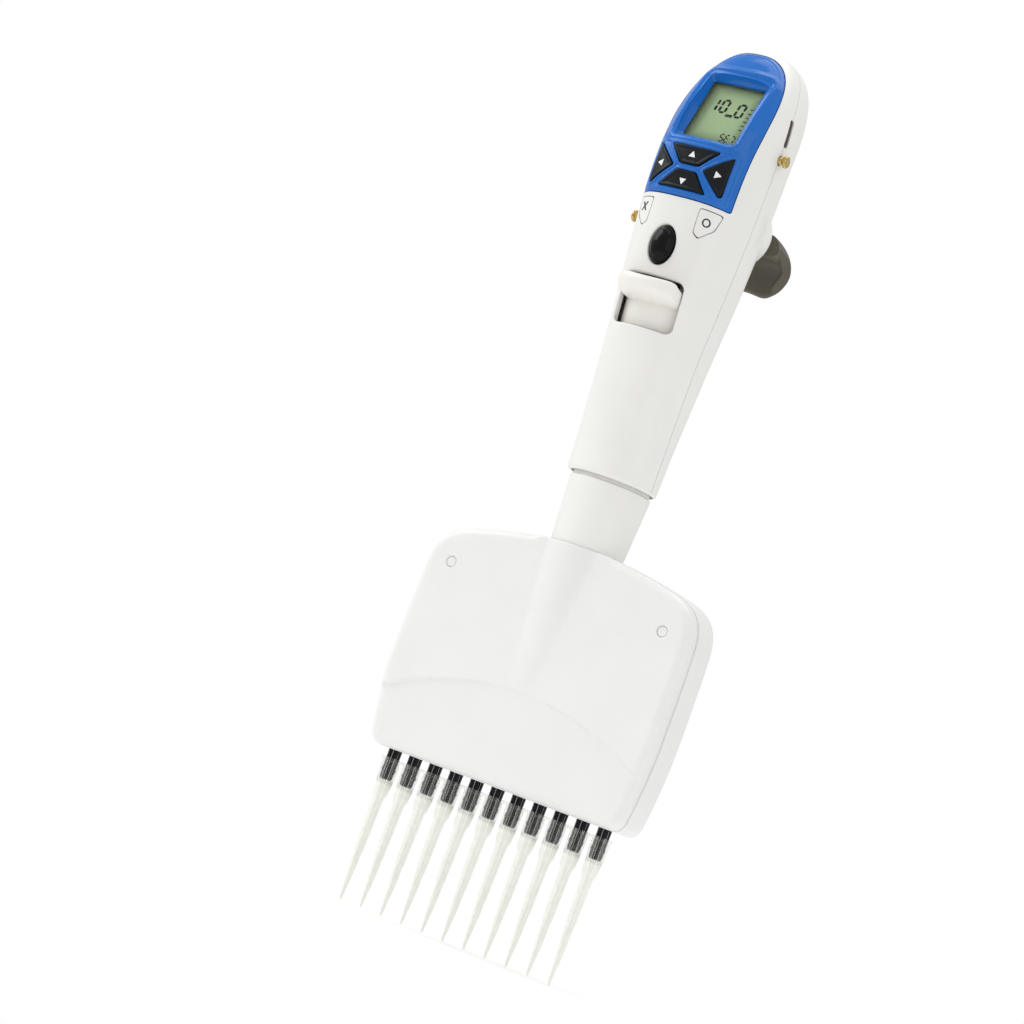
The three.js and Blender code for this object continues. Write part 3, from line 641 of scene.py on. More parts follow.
def hook_curves(steps=48):
    """The outer and the inner line of the finger hook in the middle plane, evenly spaced."""
    outer = bezier((24.3, 281.5), (46, 281.5), (45.5, 270), (41.2, 261.6), 80)
    curl = bezier((33, 273.5), (36.8, 273.5), (38.8, 268.5), (38.2, 261.6), 60)
    inner = np.vstack([[(24.3, 273.5)], curl])
    return spaced(outer, steps), spaced(inner, steps)


def hook_half_width(z):
    side = bezier((15.5, 286), (19.8, 277), (20.4, 260.6), (9.5, 259.6), 80)[::-1]
    return np.interp(z, side[:, 1], side[:, 0])


HOOK_EDGE = 0.2  # share of the half width over which the hook thins to its rounded edge


def finger_hook():
    outer, inner = hook_curves()
    middle, half = (outer + inner) / 2, (outer - inner) / 2
    turns = np.linspace(0, math.pi, 14)[1:-1]
    tip = [half[-1] * math.cos(a) + np.array((0, -1.4)) * math.sin(a) for a in turns]
    rings = []
    for t in np.sin(np.linspace(-math.pi / 2, math.pi / 2, 72)):
        edge = np.clip((abs(t) - 1 + HOOK_EDGE) / HOOK_EDGE, 0, 1)
        thin = math.sqrt(max(1 - edge * edge, 0.02))
        end = middle[-1] + np.array(tip) * (thin, 1)
        y, z = np.vstack([middle + half * thin, end, (middle - half * thin)[::-1]]).T
        bend = 1.5 * t * t * ease((286 - z) / 20) * ease((y - 26) / 8)
        crown = 1.4 * t**4 * ease((z - 266) / 10)
        x = t * hook_half_width(z)
        notch = 1.0 * np.clip(1 - (x / 10) ** 2, 0, 1) * ease((270 - z) / 9)
        rings.append(np.stack([x, y - bend, z - crown + notch], 1))
    return ring_solid("hook", rings)


def display_panel(name, grow, near, far, radius=0.3):
    """A plate behind the display opening, between two depths, with a rounded front edge."""
    rings = [display_ring(grow, far, 1.0)]
    for angle in np.linspace(0, math.pi / 2, 4):
        inwards, down = radius * (1 - math.cos(angle)), radius * (1 - math.sin(angle))
        rings.append(display_ring(grow - inwards, near - down, 1.0))
    return ring_solid(name, rings)


SEGMENTS = {
    "0": "abcdef", "1": "bc", "5": "afgcd", "E": "afged", "7": "abc", "-": "g",
}


def segment_shapes(symbol, height, width, stroke):
    """The bars of one seven-segment figure, each a six-sided outline."""
    half, s = height / 2, stroke / 2
    near = 0.15

    def bar(start, end, at):
        """The six corners of a bar along the first direction, pointed at both ends."""
        a, b = start + near, end - near
        return [(a, at), (a + s, at + s), (b - s, at + s), (b, at), (b - s, at - s), (a + s, at - s)]

    across = lambda z: bar(0, width, z)
    upright = lambda x, z: [(px, pz) for pz, px in bar(z, z + half, x)][::-1]
    bars = {
        "a": across(height), "g": across(half), "d": across(0),
        "f": upright(0, half), "b": upright(width, half), "e": upright(0, 0), "c": upright(width, 0),
    }
    return [bars[letter] for letter in SEGMENTS[symbol]]


FIGURE_FACES = (-0.84, -0.9)  # front and back of the bars, out from the display's own plane


def display_figures():
    """The reading and the small marks on the display, as thin bars."""
    slant = 0.03
    placed = []

    def write(text, x, up, height, width, step, stroke):
        for symbol in text:
            for bar in segment_shapes(symbol, height, width, stroke):
                placed.append([(x + px + slant * pz, up + pz) for px, pz in bar])
            x += step

    write("10", -7.9, 1.2, 5.6, 2.4, 4.2, 0.95)
    write("0", 3.0, 0.4, 5.8, 2.6, 4.2, 0.95)
    placed.append([(-0.5, 0.3), (-0.2, -0.3), (2.2, -0.3), (2.5, 0.3), (2.2, 0.9), (-0.2, 0.9)])
    write("5E7", 2.6, -11.2, 3.2, 1.4, 2.15, 0.5)
    for i in range(6):
        write("-", 7.4, -5.4 + 1.94 * i, 1.2, 1.8, 1, 0.4)
    points, faces = [], []
    for bar in placed:
        base, count = len(points), len(bar)
        for out in FIGURE_FACES:
            points += [display_point(x, out, up) for x, up in bar]
        near = [base + i for i in range(count)]
        far = [base + count + i for i in range(count)]
        faces += [near, far[::-1]]
        faces += [(near[i - 1], near[i], far[i], far[i - 1]) for i in range(count)]
    return make_object("figures", points, faces)


# Middle of each pointer and the way it points, in degrees.
POINTERS = {
    "up": (0, 289.4, 90), "down": (0, 279.5, -90),
    "right": (11.5, 284.6, 0), "left": (-11.5, 284.6, 180),
}
POINTER_SIZE = 1.55


def triangle_mark(name):
    """The raised pointer on an arrow key."""
    x, z, turn = POINTERS[name]
    angles = np.radians(turn + np.array((0, 120, 240)))
    corners = np.stack([x + POINTER_SIZE * np.cos(angles), z + POINTER_SIZE * np.sin(angles)], 1)
    outline = rounded(corners, 0.2, 48)
    return capped("pointer", outline, lambda x, z: key_top(x, z) + 0.12, -20, 0.05, 6)


MARK_X, MARK_Z = 12.8, 267.6  # middle of the mark on the enter key
CANCEL_RISE = 0.8  # how much higher the cancel mark is


def enter_mark():
    outline = oval(1.35, 1.6, MARK_Z, 80, MARK_X)
    ring = capped("enter mark", outline, lambda x, z: front_y(x, z) - 0.04, -20, 0.04)
    hole = oval(0.85, 1.1, MARK_Z, 80, MARK_X)
    return boolean(ring, [prism("hole", hole, -40, -10)])


def cancel_mark():
    half, tall, s = 1.15, 1.65, 0.34
    x0, z0 = -MARK_X, MARK_Z + CANCEL_RISE
    arm = math.atan2(tall, half)
    nx, nz = s * math.sin(arm), s * math.cos(arm)
    notch_x, notch_z = s / math.sin(arm), s / math.cos(arm)
    left = [
        (half - nx, tall + nz), (0, notch_z), (-half + nx, tall + nz),
        (-half - nx, tall - nz), (-notch_x, 0), (-half - nx, -tall + nz),
    ]
    # the other corners of the cross are these, turned by half a turn
    corners = left + [(-x, -z) for x, z in left]
    outline = rounded([(x0 + x, z0 + z) for x, z in corners], 0.12, 120)
    return capped("cancel mark", outline, lambda x, z: front_y(x, z) - 0.04, -20, 0.03, 8)


# ---------------------------------------------------------------- ejector button
PAD_ROOT = -17.6
PAD_HALF = 11.7
SKIRT = {"half": 12.6, "bottom": 226.6, "top": 241, "thick": 1.8}


def ejector_pad():
    """The thumb ledge: a rounded bar with a hollowed top, bowed out in the middle."""
    top = quadratic((PAD_ROOT, 243.9), (-24.5, 241.3), (-30.6, 243.0), 24)
    nose = bezier((-30.6, 243.0), (-32.9, 243.3), (-33.2, 239.6), (-30.6, 237.9), 20)
    under = quadratic((-30.6, 237.9), (-26, 235.4), (PAD_ROOT, 235.9), 20)
    profile = resample(np.vstack([top[:-1], nose[:-1], under]), 140)
    centre = np.array((-25.0, 239.7))
    rings = []
    for t in np.sin(np.linspace(-math.pi / 2, math.pi / 2, 56)):
        shrink = (1 - abs(t) ** 7) ** (1 / 5)
        x = t * PAD_HALF
        loop = centre + (profile - centre) * (1, max(shrink, 0.02))
        y = PAD_ROOT + (loop[:, 0] - PAD_ROOT) * (math.sqrt(19**2 - x * x) - 4.0) / 15.0
        y = np.where(y < PAD_ROOT, PAD_ROOT + (y - PAD_ROOT) * (0.75 + 0.25 * shrink), y)
        lift = 0.9 * t * t * ease((-(loop[:, 0]) - 20) / 8) * ease((loop[:, 1] - 239.5) / 3)
        rings.append(np.stack([np.full(len(y), x), y, loop[:, 1] + lift], 1))
    return ring_solid("pad", rings)


def ejector_button():
    half, low, high = SKIRT["half"], SKIRT["bottom"], SKIRT["top"]
    outline = rectangle(-half, half, low, high, 1.2, 240)
    surface = lambda x, z: front_y(x, z - EJECT_TRAVEL, WALL + 0.5)
    back = surface(outline[:, 0], outline[:, 1]) + SKIRT["thick"]
    skirt = capped("skirt", outline, surface, back, 0.6, 40)
    return boolean(skirt, [ejector_pad()], "UNION")


# ---------------------------------------------------------------- neck, head, nozzles and tips
def neck_radius(z):
    return NECK_RADIUS - (RIM - 1.3 - z) * NECK_SLOPE


def swivel_neck():
    low, high = NECK_BOTTOM, RIM - 1.3
    outside = [(neck_radius(z), z) for z in np.linspace(low, high - 0.5, 40)]
    quarter = np.linspace(0, math.pi / 2, 5)
    lip = [(NECK_RADIUS - 0.5 * (1 - math.cos(a)), high - 0.5 + 0.5 * math.sin(a)) for a in quarter]
    upper = [(14.4, high + 0.1), (14.4, RIM + 2.4), (12.8, RIM + 2.4), (12.8, 192), (NECK_BORE, 192)]
    neck = turned("neck", [(NECK_BORE, low)] + outside + lip + upper, 128, closed=True)
    return boolean(neck, [block("opening", -20, 20, -5.5, 5.5, 121.4, 134.4)])


def cover_outline(inset=0.0, count=440):
    side = [
        [(0, COVER_FLOOR), (49.5, COVER_FLOOR)],
        quadratic((49.5, COVER_FLOOR), (53.2, COVER_FLOOR), (53.8, COVER_FLOOR + 5.5)),
        quadratic((53.8, COVER_FLOOR + 5.5), (55.6, 75), (55.9, 88)),
        quadratic((55.9, 88), (56, 108), (55.4, 124)),
        bezier((55.4, 124), (55, 134.5), (51, 139.5), (42, 141.6)),
        quadratic((42, 141.6), (28, 145.2), (14, COVER_TOP)),
    ]
    right = np.vstack(side)
    left = right[::-1] * (-1, 1)
    return offset(resample(np.vstack([right, left]), count), -inset)


CREASE = {"apex": 91.5, "radius": 115, "depth": 1.5}
COVER_WALL = 3.3  # front and back walls; the crease eats into the front one


def sheath_reach(x, z):
    radius = neck_radius(z) + 1.2
    return np.sqrt(np.clip(radius**2 - x**2, 0, None))


def cover_front_y(x, z):
    """The head's front face, with its arched crease and the swelling over the neck."""
    inside = CREASE["radius"] - np.hypot(x, z - CREASE["apex"] + CREASE["radius"])
    fall = CREASE["depth"] * (CREASE["apex"] - z) / (CREASE["apex"] - COVER_FLOOR)
    hollow = (0.5 + 1.2 * fall) * ease(inside / 0.8)
    crown = 0.35 * (1 - (x / 56) ** 2)
    face = COVER_FRONT + 0.35 - crown + hollow
    reach = sheath_reach(x, z) * ease((z - 84) / 12)
    return smooth_min(face, -reach, 1.6)


def cover_back_y(x, z):
    crown = 0.4 * (1 - (x / 56) ** 2)
    return -smooth_min(-(COVER_BACK - 0.4 + crown), -sheath_reach(x, z) * ease((z - 84) / 12), 1.6)


def cover_solid(name, face, sign, seam, grow=0.0, radius=3.2):
    """One half of the head's case as a full solid, from the seam to its rounded face."""
    outline = cover_outline(-grow)
    near_neck = ease((18 - np.abs(outline[:, 0])) / 6) * (outline[:, 1] > 120)
    own = radius + (0.6 - radius) * near_neck
    height = lambda line: face(line[:, 0], line[:, 1])
    rings = [
        ring_at(offset(outline, -0.35), seam),
        ring_at(offset(outline, -0.1), seam + sign * 0.12),
        ring_at(outline, seam + sign * 0.4),
    ]
    for angle in np.linspace(0, math.pi / 2, 10):
        line = offset(outline, -own * (1 - math.cos(angle)))
        rings.append(ring_at(line, height(line) - sign * own * (1 - math.sin(angle))))
    last = offset(outline, -own)
    centre = np.array((0, 100.0))
    for share in np.linspace(1, 0, 64, endpoint=False)[1:]:
        line = centre + (last - centre) * share
        rings.append(ring_at(line, height(line)))
    return ring_solid(name, rings)


def inner_cavity(face, sign, seam):
    return prism("cavity", cover_outline(2.2, 200), seam - sign, face - sign * COVER_WALL)


def cover_cutters():
    tools = [turned("bore", [(neck_radius(z) + 0.3, z) for z in (85, 165)], 128)]
    for x in CHANNEL_X:
        hole = turned("nozzle hole", [(2.95, 50), (2.95, 60)], 32)
        hole.data.transform(Matrix.Translation((x * MM, 0, 0)))
        tools.append(hole)
    return tools


def screw_recess(side):
    x, z = COVER_SCREW
    return cutter(oval(2.0, 2.0, z, 60, side * x), cover_front_y, COVER_FRONT + 2, 0.6)


def head_front_cover():
    cover = cover_solid("front cover", cover_front_y, -1, COVER_SEAM - GAP / 2)
    tools = [inner_cavity(COVER_FRONT, -1, COVER_SEAM)] + cover_cutters()
    return boolean(cover, tools + [screw_recess(1), screw_recess(-1)])


def head_rear_cover():
    cover = cover_solid("rear cover", cover_back_y, 1, COVER_SEAM + GAP / 2, 0.35)
    return boolean(cover, [inner_cavity(COVER_BACK, 1, COVER_SEAM)] + cover_cutters())


def cover_screw(side):
    x, z = COVER_SCREW
    top = lambda px, pz: np.full(np.shape(px), COVER_FRONT + 0.55)
    return capped("cover screw", oval(1.9, 1.9, z, 60, side * x), top, COVER_FRONT + 2, 0.35)


def nozzle_profile():
    shank = [(0.7, NOZZLE_END), (2.0, NOZZLE_END), (2.2, NOZZLE_END + 0.2), (2.45, NOZZLE_END + 1.4)]
    seal = [(2.45, 48.6), (2.62, 48.9), (2.68, 49.4), (2.62, 49.9), (2.45, 50.2)]
    return shank + seal + [(2.5, 56), (2.55, 57), (2.55, 66), (0.7, 66)]


def tip_solid():
    """A tip with fine ribs around its collar; the collar is clear where the nozzle shows through."""
    outside = [
        (0.5, 0), (0.62, 1.5), (1.05, 7), (1.45, 12.8), (1.6, 20), (1.78, 30), (1.95, 38.2),
        (2.05, 38.9), (2.5, 40.2), (2.68, 40.8), (2.8, 42.4), (2.88, 43.6), (3.0, 45.2), (3.12, 48.0),
        (3.24, TIP_TOP - 3), (3.3, TIP_TOP - 1.4), (3.62, TIP_TOP - 1.1), (3.85, TIP_TOP - 0.8),
        (3.85, TIP_TOP - 0.15), (3.7, TIP_TOP),
    ]
    inside = [
        (2.95, TIP_TOP), (2.84, 52), (2.74, NOZZLE_END - 0.6), (2.4, 41),
        (1.5, 38.6), (1.2, 25), (1.0, 12.8), (0.25, 0),
    ]
    angles = np.linspace(0, 2 * math.pi, 64, endpoint=False)
    cos, sin = np.cos(angles), np.sin(angles)
    rings = []
    for radius, z in outside:
        ribbed = float(ease((z - 42.6) / 1.5) * ease((TIP_TOP - 1.3 - z) / 0.5))
        ribs = 0.26 * ribbed * np.clip(np.cos(8 * angles), 0, 1) ** 3
        rings.append(np.stack([(radius + ribs) * cos, (radius + ribs) * sin, np.full(64, z)], 1))
    for radius, z in inside:
        rings.append(np.stack([radius * cos, radius * sin, np.full(64, z)], 1))
    return loop_solid("tip", rings)


# ---------------------------------------------------------------- materials
def shader(name):
    material = bpy.data.materials.new(name)
    material.use_nodes = True
    return material, material.node_tree.nodes, material.node_tree.links


def own_place(nodes):
    """A point in the piece's own coordinates."""
    return nodes.new("ShaderNodeTexCoord").outputs["Object"]


def own_axes(nodes, links):
    apart = nodes.new("ShaderNodeSeparateXYZ")
    links.new(own_place(nodes), apart.inputs["Vector"])
    return apart.outputs


def facing(nodes, blend):
    """How far a surface turns away from the eye."""
    weight = nodes.new("ShaderNodeLayerWeight")
    weight.inputs["Blend"].default_value = blend
    return weight.outputs["Facing"]


def noise(nodes, links, scale, detail=3.0):
    texture = nodes.new("ShaderNodeTexNoise")
    texture.inputs["Scale"].default_value = scale
    texture.inputs["Detail"].default_value = detail
    links.new(own_place(nodes), texture.inputs["Vector"])
    return texture.outputs["Fac"]


def ramp(nodes, links, factor, low, high, start=0.3, end=0.7):
    colours = nodes.new("ShaderNodeValToRGB")
    colours.color_ramp.elements[0].position = start
    colours.color_ramp.elements[1].position = end
    colours.color_ramp.elements[0].color = (*low, 1)
    colours.color_ramp.elements[1].color = (*high, 1)
    links.new(factor, colours.inputs["Fac"])
    return colours.outputs["Color"]


def scaled(nodes, links, factor, low, high, start=0, end=1, kind="LINEAR"):
    """A value carried from one range to another."""
    span = nodes.new("ShaderNodeMapRange")
    span.interpolation_type = kind
    for name, value in (("From Min", start), ("From Max", end), ("To Min", low), ("To Max", high)):
        span.inputs[name].default_value = value
    links.new(factor, span.inputs["Value"])
    return span.outputs["Result"]


def calculate(nodes, links, operation, *terms, clamp=False):
    """The result of a math node; each term is a number or another node's output."""
    step = nodes.new("ShaderNodeMath")
    step.operation = operation
    step.use_clamp = clamp
    for term, entry in zip(terms, step.inputs):
        if isinstance(term, (int, float)):
            entry.default_value = term
        else:
            links.new(term, entry)
    return step.outputs[0]


def moulded(
    name, colour, roughness, shift=0.03, grain=2600, bump=0.05, mottle=60, specular=0.5, metallic=0.0
):
    """Moulded or machined material: faint mottling, uneven gloss and a fine surface grain."""
    material, nodes, links = shader(name)
    principled = nodes["Principled BSDF"]
    principled.inputs["Metallic"].default_value = metallic
    principled.inputs["Specular IOR Level"].default_value = specular
    low = tuple(max(c * (1 - shift), 0) for c in colour)
    high = tuple(min(c * (1 + shift), 1) for c in colour)
    clouds = noise(nodes, links, mottle)
    links.new(ramp(nodes, links, clouds, low, high), principled.inputs["Base Color"])
    gloss = scaled(nodes, links, noise(nodes, links, mottle * 4), roughness * 0.85, roughness * 1.15)
    links.new(gloss, principled.inputs["Roughness"])
    relief = nodes.new("ShaderNodeBump")
    relief.inputs["Strength"].default_value = bump
    relief.inputs["Distance"].default_value = 0.0001
    links.new(noise(nodes, links, grain, 4), relief.inputs["Height"])
    links.new(relief.outputs["Normal"], principled.inputs["Normal"])
    return material


def brushed(name, colour, roughness, axis=(1, 1, 40)):
    """Turned or brushed metal, with fine streaks across one direction."""
    material, nodes, links = shader(name)
    principled = nodes["Principled BSDF"]
    principled.inputs["Metallic"].default_value = 1
    stretch = nodes.new("ShaderNodeMapping")
    stretch.inputs["Scale"].default_value = axis
    texture = nodes.new("ShaderNodeTexNoise")
    texture.inputs["Scale"].default_value = 150
    links.new(own_place(nodes), stretch.inputs["Vector"])
    links.new(stretch.outputs["Vector"], texture.inputs["Vector"])
    streaks = texture.outputs["Fac"]
    low = tuple(c * 0.88 for c in colour)
    links.new(ramp(nodes, links, streaks, low, colour), principled.inputs["Base Color"])
    gloss = scaled(nodes, links, streaks, roughness * 0.7, roughness * 1.3)
    links.new(gloss, principled.inputs["Roughness"])
    return material


def display_glow():
    """Grey-green liquid crystal, darker towards its edges."""
    material, nodes, links = shader("display_green")
    principled = nodes["Principled BSDF"]
    principled.inputs["Roughness"].default_value = 0.6
    principled.inputs["Specular IOR Level"].default_value = 0.2
    axes = own_axes(nodes, links)
    extents = (("X", 0.0, DISPLAY["half"]), ("Z", DISPLAY["z"], DISPLAY["tall"]))
    shares = []
    for axis, middle, reach in extents:
        shift = calculate(nodes, links, "SUBTRACT", axes[axis], middle * MM)
        share = calculate(nodes, links, "DIVIDE", shift, reach * MM)
        shares.append(calculate(nodes, links, "ABSOLUTE", share))
    furthest = calculate(nodes, links, "MAXIMUM", *shares)
    colour = ramp(nodes, links, furthest, (0.33, 0.46, 0.24), (0.15, 0.20, 0.10), 0.62, 1.0)
    links.new(colour, principled.inputs["Base Color"])
    return material


def see_through(name, colour, roughness, edge, middle, grain=900):
    """A clear or frosted moulding, more solid where it is seen edge-on."""
    material, nodes, links = shader(name)
    principled = nodes["Principled BSDF"]
    principled.inputs["Roughness"].default_value = roughness
    low = tuple(c * 0.95 for c in colour)
    links.new(ramp(nodes, links, noise(nodes, links, grain), low, colour), principled.inputs["Base Color"])
    links.new(scaled(nodes, links, facing(nodes, 0.35), middle, edge), principled.inputs["Alpha"])
    return material


def around_axis(nodes, links, count, start, end):
    """Thin stripes along a turned piece: 1 on each of `count` stripes around Z, 0 between them."""
    turn = nodes.new("ShaderNodeTexGradient")
    turn.gradient_type = "RADIAL"
    links.new(own_place(nodes), turn.inputs["Vector"])
    wave = calculate(nodes, links, "MULTIPLY", turn.outputs["Fac"], count * 2 * math.pi)
    height = calculate(nodes, links, "COSINE", wave)
    return scaled(nodes, links, height, 0, 1, start, end, "SMOOTHSTEP")


def nozzle_with_painted_glints():
    """Polished black plastic with thin bright stripes along it, painted glints that stand in for reflected
    light.
    """
    material, nodes, links = shader("nozzle_black")
    principled = nodes["Principled BSDF"]
    principled.inputs["Specular IOR Level"].default_value = 0.15
    principled.inputs["Roughness"].default_value = 0.15
    # the bright stripes around the nozzle are painted glints, standing in for reflections of the lights
    painted_glints = around_axis(nodes, links, 7, 0.93, 0.99)
    colour = ramp(nodes, links, painted_glints, (0.003, 0.003, 0.004), (0.30, 0.31, 0.34), 0, 1)
    links.new(colour, principled.inputs["Base Color"])
    return material


def tip_plastic():
    """Natural polypropylene: frosty along the shaft and clearer at the collar, with painted shade darkening
    its outline and painted glints along the collar's ribs.
    """
    material, nodes, links = shader("tip_clear")
    principled = nodes["Principled BSDF"]
    principled.inputs["Roughness"].default_value = 0.3
    height = own_axes(nodes, links)["Z"]
    alpha = scaled(nodes, links, height, 0.84, 0.02, 43.5 * MM, 46.5 * MM, "SMOOTHSTEP")
    away = facing(nodes, 0.4)
    edge = scaled(nodes, links, away, 0, 0.22)
    # the collar is more solid along its moulded ribs so they show as light lines: real ribs, with painted
    # glints on them
    ribs = scaled(nodes, links, around_axis(nodes, links, 8, 0.86, 0.98), 0, 0.2)
    for share in (edge, ribs):
        alpha = calculate(nodes, links, "ADD", alpha, share, clamp=True)
    links.new(alpha, principled.inputs["Alpha"])
    body = ramp(nodes, links, noise(nodes, links, 500), (0.86, 0.87, 0.80), (0.93, 0.94, 0.87))
    # darker where the surface turns away from the eye: painted shade for the dark outline that refraction
    # gives
    rim = ramp(nodes, links, away, (1, 1, 1), (0.30, 0.31, 0.27), 0.55, 0.95)
    outline_shaded = nodes.new("ShaderNodeMixRGB")
    outline_shaded.blend_type = "MULTIPLY"
    outline_shaded.inputs["Fac"].default_value = 1
    links.new(body, outline_shaded.inputs["Color1"])
    links.new(rim, outline_shaded.inputs["Color2"])
    links.new(outline_shaded.outputs["Color"], principled.inputs["Base Color"])
    return material


MATERIALS = {
    "shell_white": moulded("shell_white", (0.82, 0.815, 0.785), 0.36, 0.015, bump=0.06),
    "head_white": moulded("head_white", (0.80, 0.80, 0.79), 0.42, 0.012, bump=0.12),
    "ejector_white": moulded("ejector_white", (0.84, 0.825, 0.775), 0.38, 0.02, bump=0.06),
    "bezel_blue": moulded("bezel_blue", (0.010, 0.140, 0.52), 0.12, 0.06, bump=0.02, specular=0.32),
    "key_black": moulded("key_black", (0.008, 0.009, 0.012), 0.3, 0.25, bump=0.1, specular=0.18),
    "trigger_black": moulded("trigger_black", (0.003, 0.003, 0.004), 0.14, 0.2, bump=0.02, specular=0.16),
    "hook_taupe": moulded("hook_taupe", (0.100, 0.090, 0.066), 0.5, 0.08, bump=0.08, specular=0.35),
    "gold": brushed("gold", (0.58, 0.42, 0.16), 0.12, (40, 1, 1)),
    "display_lens": see_through("display_lens", (0.85, 0.9, 0.84), 0.04, 0.08, 0.0),
    "display_green": display_glow(),
    "board_green": moulded("board_green", (0.02, 0.14, 0.06), 0.4, 0.2, mottle=300),
    "dark_plastic": moulded("dark_plastic", (0.045, 0.032, 0.022), 0.5, 0.15, bump=0.1),
    "motor_grey": moulded("motor_grey", (0.10, 0.11, 0.12), 0.4, 0.1, metallic=0.6),
    "aluminium": brushed("aluminium", (0.78, 0.79, 0.80), 0.35),
    "brass": brushed("brass", (0.70, 0.52, 0.25), 0.3),
    "steel": brushed("steel", (0.62, 0.63, 0.65), 0.25),
    "nozzle_black": nozzle_with_painted_glints(),
    "tip_clear": tip_plastic(),
}
MARK_WHITE = moulded("mark_white", (0.82, 0.84, 0.86), 0.45, 0.02)
MARK_DARK = moulded("mark_dark", (0.03, 0.03, 0.034), 0.5, 0.1)
FIGURE_DARK = moulded("figure_dark", (0.002, 0.003, 0.002), 0.6, 0.1, specular=0.05)


# ---------------------------------------------------------------- assembly
def place(thing, body, slot, nodes=(), material=None):
    """Finishes a piece: smooth shading, material, the body it moves with and what it stands for."""
    thing.name = nodes[0] + "_look" if nodes else thing.name
    thing.data.materials.clear()
    thing.data.materials.append(material or MATERIALS[slot])
    thing.data.shade_smooth()
    thing.data.set_sharp_from_angle(angle=SMOOTH_ANGLE)
    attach(thing, body)
    if nodes:
        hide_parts(*nodes)
    return thing


def named(thing, name):
    thing.name = name
    return thing


def build_handle():
    place(handle_front_shell(), "handle", "shell_white", ["handle_front_shell"])
    place(handle_rear_shell(), "handle", "shell_white", ["handle_rear_shell"])
    place(keypad_bezel(), "handle", "bezel_blue", ["keypad_bezel"])
    place(finger_hook(), "handle", "hook_taupe", ["finger_hook"])
    for name, post in POSTS.items():
        place(charging_post(*post), "handle", "gold", [f"charging_post_{name}"])
    place(slot_lining(), "handle", "dark_plastic")
    place(display_panel("window", 1.0, 0.6, -0.6), "handle", "display_lens", ["display_window"])
    place(display_panel("module", 1.6, -0.9, -5.2), "handle", "display_green", ["display_module"])
    place(named(display_figures(), "display_figures"), "handle", "display_green", material=FIGURE_DARK)


def build_keys():
    for name in ARROW_KEYS:
        place(arrow_key(name), f"arrow_{name}", "key_black", [f"key_{name}"])
        pointer = named(triangle_mark(name), f"pointer_{name}")
        place(pointer, f"arrow_{name}", "key_black", material=MARK_WHITE)
    place(corner_key(-1), "cancel", "shell_white", ["cancel_key"])
    place(corner_key(1), "enter", "shell_white", ["enter_key"])
    place(named(cancel_mark(), "cancel_mark"), "cancel", "shell_white", material=MARK_DARK)
    place(named(enter_mark(), "enter_mark"), "enter", "shell_white", material=MARK_DARK)
    place(trigger_button(), "trigger", "trigger_black", ["trigger_button"])
    place(ejector_button(), "ejector", "ejector_white", ["ejector_button"])


def build_head():
    place(swivel_neck(), "head", "shell_white", ["swivel_neck"])
    place(head_front_cover(), "covers", "head_white", ["head_front_cover"])
    place(head_rear_cover(), "covers", "head_white", ["head_rear_cover"])
    place(cover_screw(1), "covers", "head_white", ["cover_screw_right"])
    place(cover_screw(-1), "covers", "head_white", ["cover_screw_left"])
    nozzle = turned("nozzle", nozzle_profile(), 40, closed=True)
    tip = tip_solid()
    for i, x in enumerate(CHANNEL_X, 1):
        for original, body, slot, node in (
            (nozzle, "head", "nozzle_black", f"nozzle_{i:02d}"),
            (tip, "tips", "tip_clear", f"tip_{i:02d}"),
        ):
            copy = bpy.data.objects.new(node, original.data.copy())
            bpy.context.scene.collection.objects.link(copy)
            copy.location = (x * MM, 0, 0)
            place(copy, body, slot, [node])
    bpy.data.objects.remove(nozzle)
    bpy.data.objects.remove(tip)


def dress_frame_nodes():
    """Every CAD node that stays takes the procedural material of its slot."""
    slots = {}
    for entry in frame["record"]["materials"]:
        for node in entry.get("nodes", []):
            slots[node] = entry["slot"]
    for name, thing in frame["nodes"].items():
        slot = slots.get(name) or (thing.data.materials[0].name if thing.data.materials else "steel")
        thing.data.materials.clear()
        thing.data.materials.append(MATERIALS.get(slot, MATERIALS["steel"]))


# ---------------------------------------------------------------- camera, light and floor
def aim(position, target):
    return (Vector(target) - Vector(position)).to_track_quat("-Z", "Y")


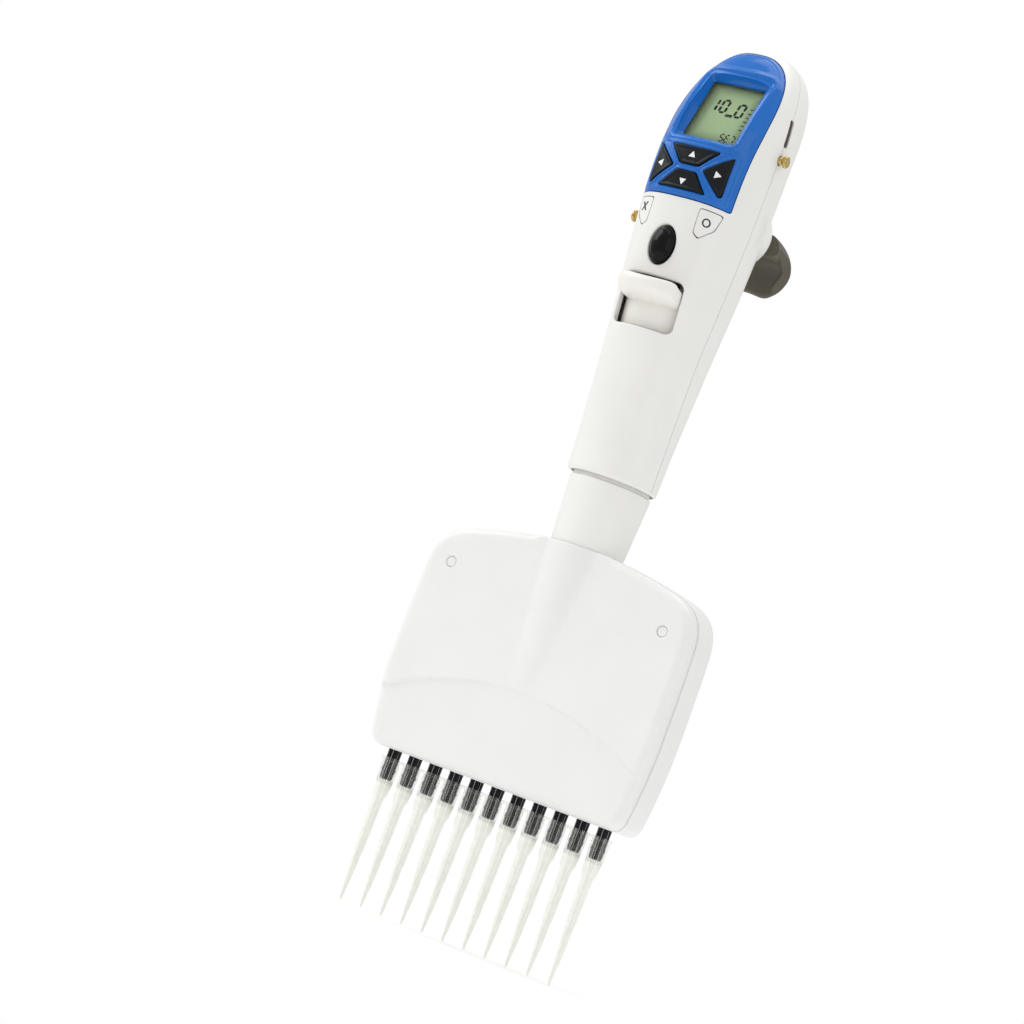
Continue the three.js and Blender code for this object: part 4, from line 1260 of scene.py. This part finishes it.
def build_camera():
    azimuth, elevation, roll = (math.radians(a) for a in (30.0, -5.05, 20.55))
    level = math.cos(elevation)
    back = Vector((math.sin(azimuth) * level, -math.cos(azimuth) * level, math.sin(elevation)))
    right = Vector((math.cos(azimuth), math.sin(azimuth), 0))
    up = back.cross(right)
    across = right * math.cos(roll) + up * math.sin(roll)
    upward = up * math.cos(roll) - right * math.sin(roll)
    data = bpy.data.cameras.new("camera")
    data.sensor_width = 36
    data.lens = 101.95
    camera = bpy.data.objects.new("camera", data)
    turn = Matrix((across, upward, back)).transposed().to_4x4()
    camera.matrix_world = Matrix.Translation((0.4898, -0.9082, 0.0597)) @ turn
    bpy.context.scene.collection.objects.link(camera)
    bpy.context.scene.camera = camera


def area_light(name, position, target, size, power, colour=(1, 1, 1)):
    data = bpy.data.lights.new(name, "AREA")
    data.shape = "RECTANGLE"
    data.size, data.size_y = size
    data.energy = power
    data.color = colour
    light = bpy.data.objects.new(name, data)
    light.location = position
    light.rotation_euler = aim(position, target).to_euler()
    bpy.context.scene.collection.objects.link(light)


AMBIENT = 0.72
FLOOR_RADIUS = 520
FLOOR_HEIGHT = -1.0


def build_studio():
    centre = (0, 0, 0.18)
    area_light("key", (-1.3, -0.7, 1.2), centre, (1.2, 1.2), 13.5)
    area_light("fill", (1.5, -0.7, 0.6), centre, (1.0, 1.4), 3)
    area_light("top", (0.1, 0.3, 1.9), centre, (1.6, 1.6), 13)
    world = bpy.data.worlds.new("studio")
    world.use_nodes = True
    nodes, links = world.node_tree.nodes, world.node_tree.links
    background = nodes["Background"]
    background.inputs["Color"].default_value = (1, 1, 1, 1)
    seen = nodes.new("ShaderNodeLightPath").outputs["Is Camera Ray"]
    links.new(scaled(nodes, links, seen, AMBIENT, 1.0), background.inputs["Strength"])
    bpy.context.scene.world = world
    ring = [(x, y, FLOOR_HEIGHT) for x, y in oval(FLOOR_RADIUS, FLOOR_RADIUS, 0, 96)]
    floor = make_object("floor", ring, [tuple(range(len(ring)))])
    floor.data.materials.append(moulded("floor_white", (0.98, 0.98, 0.98), 0.8, 0.004, specular=0.1))
    bpy.context.scene.view_settings.view_transform = "Standard"


build_camera()
build_handle()
build_keys()
build_head()
dress_frame_nodes()
build_studio()
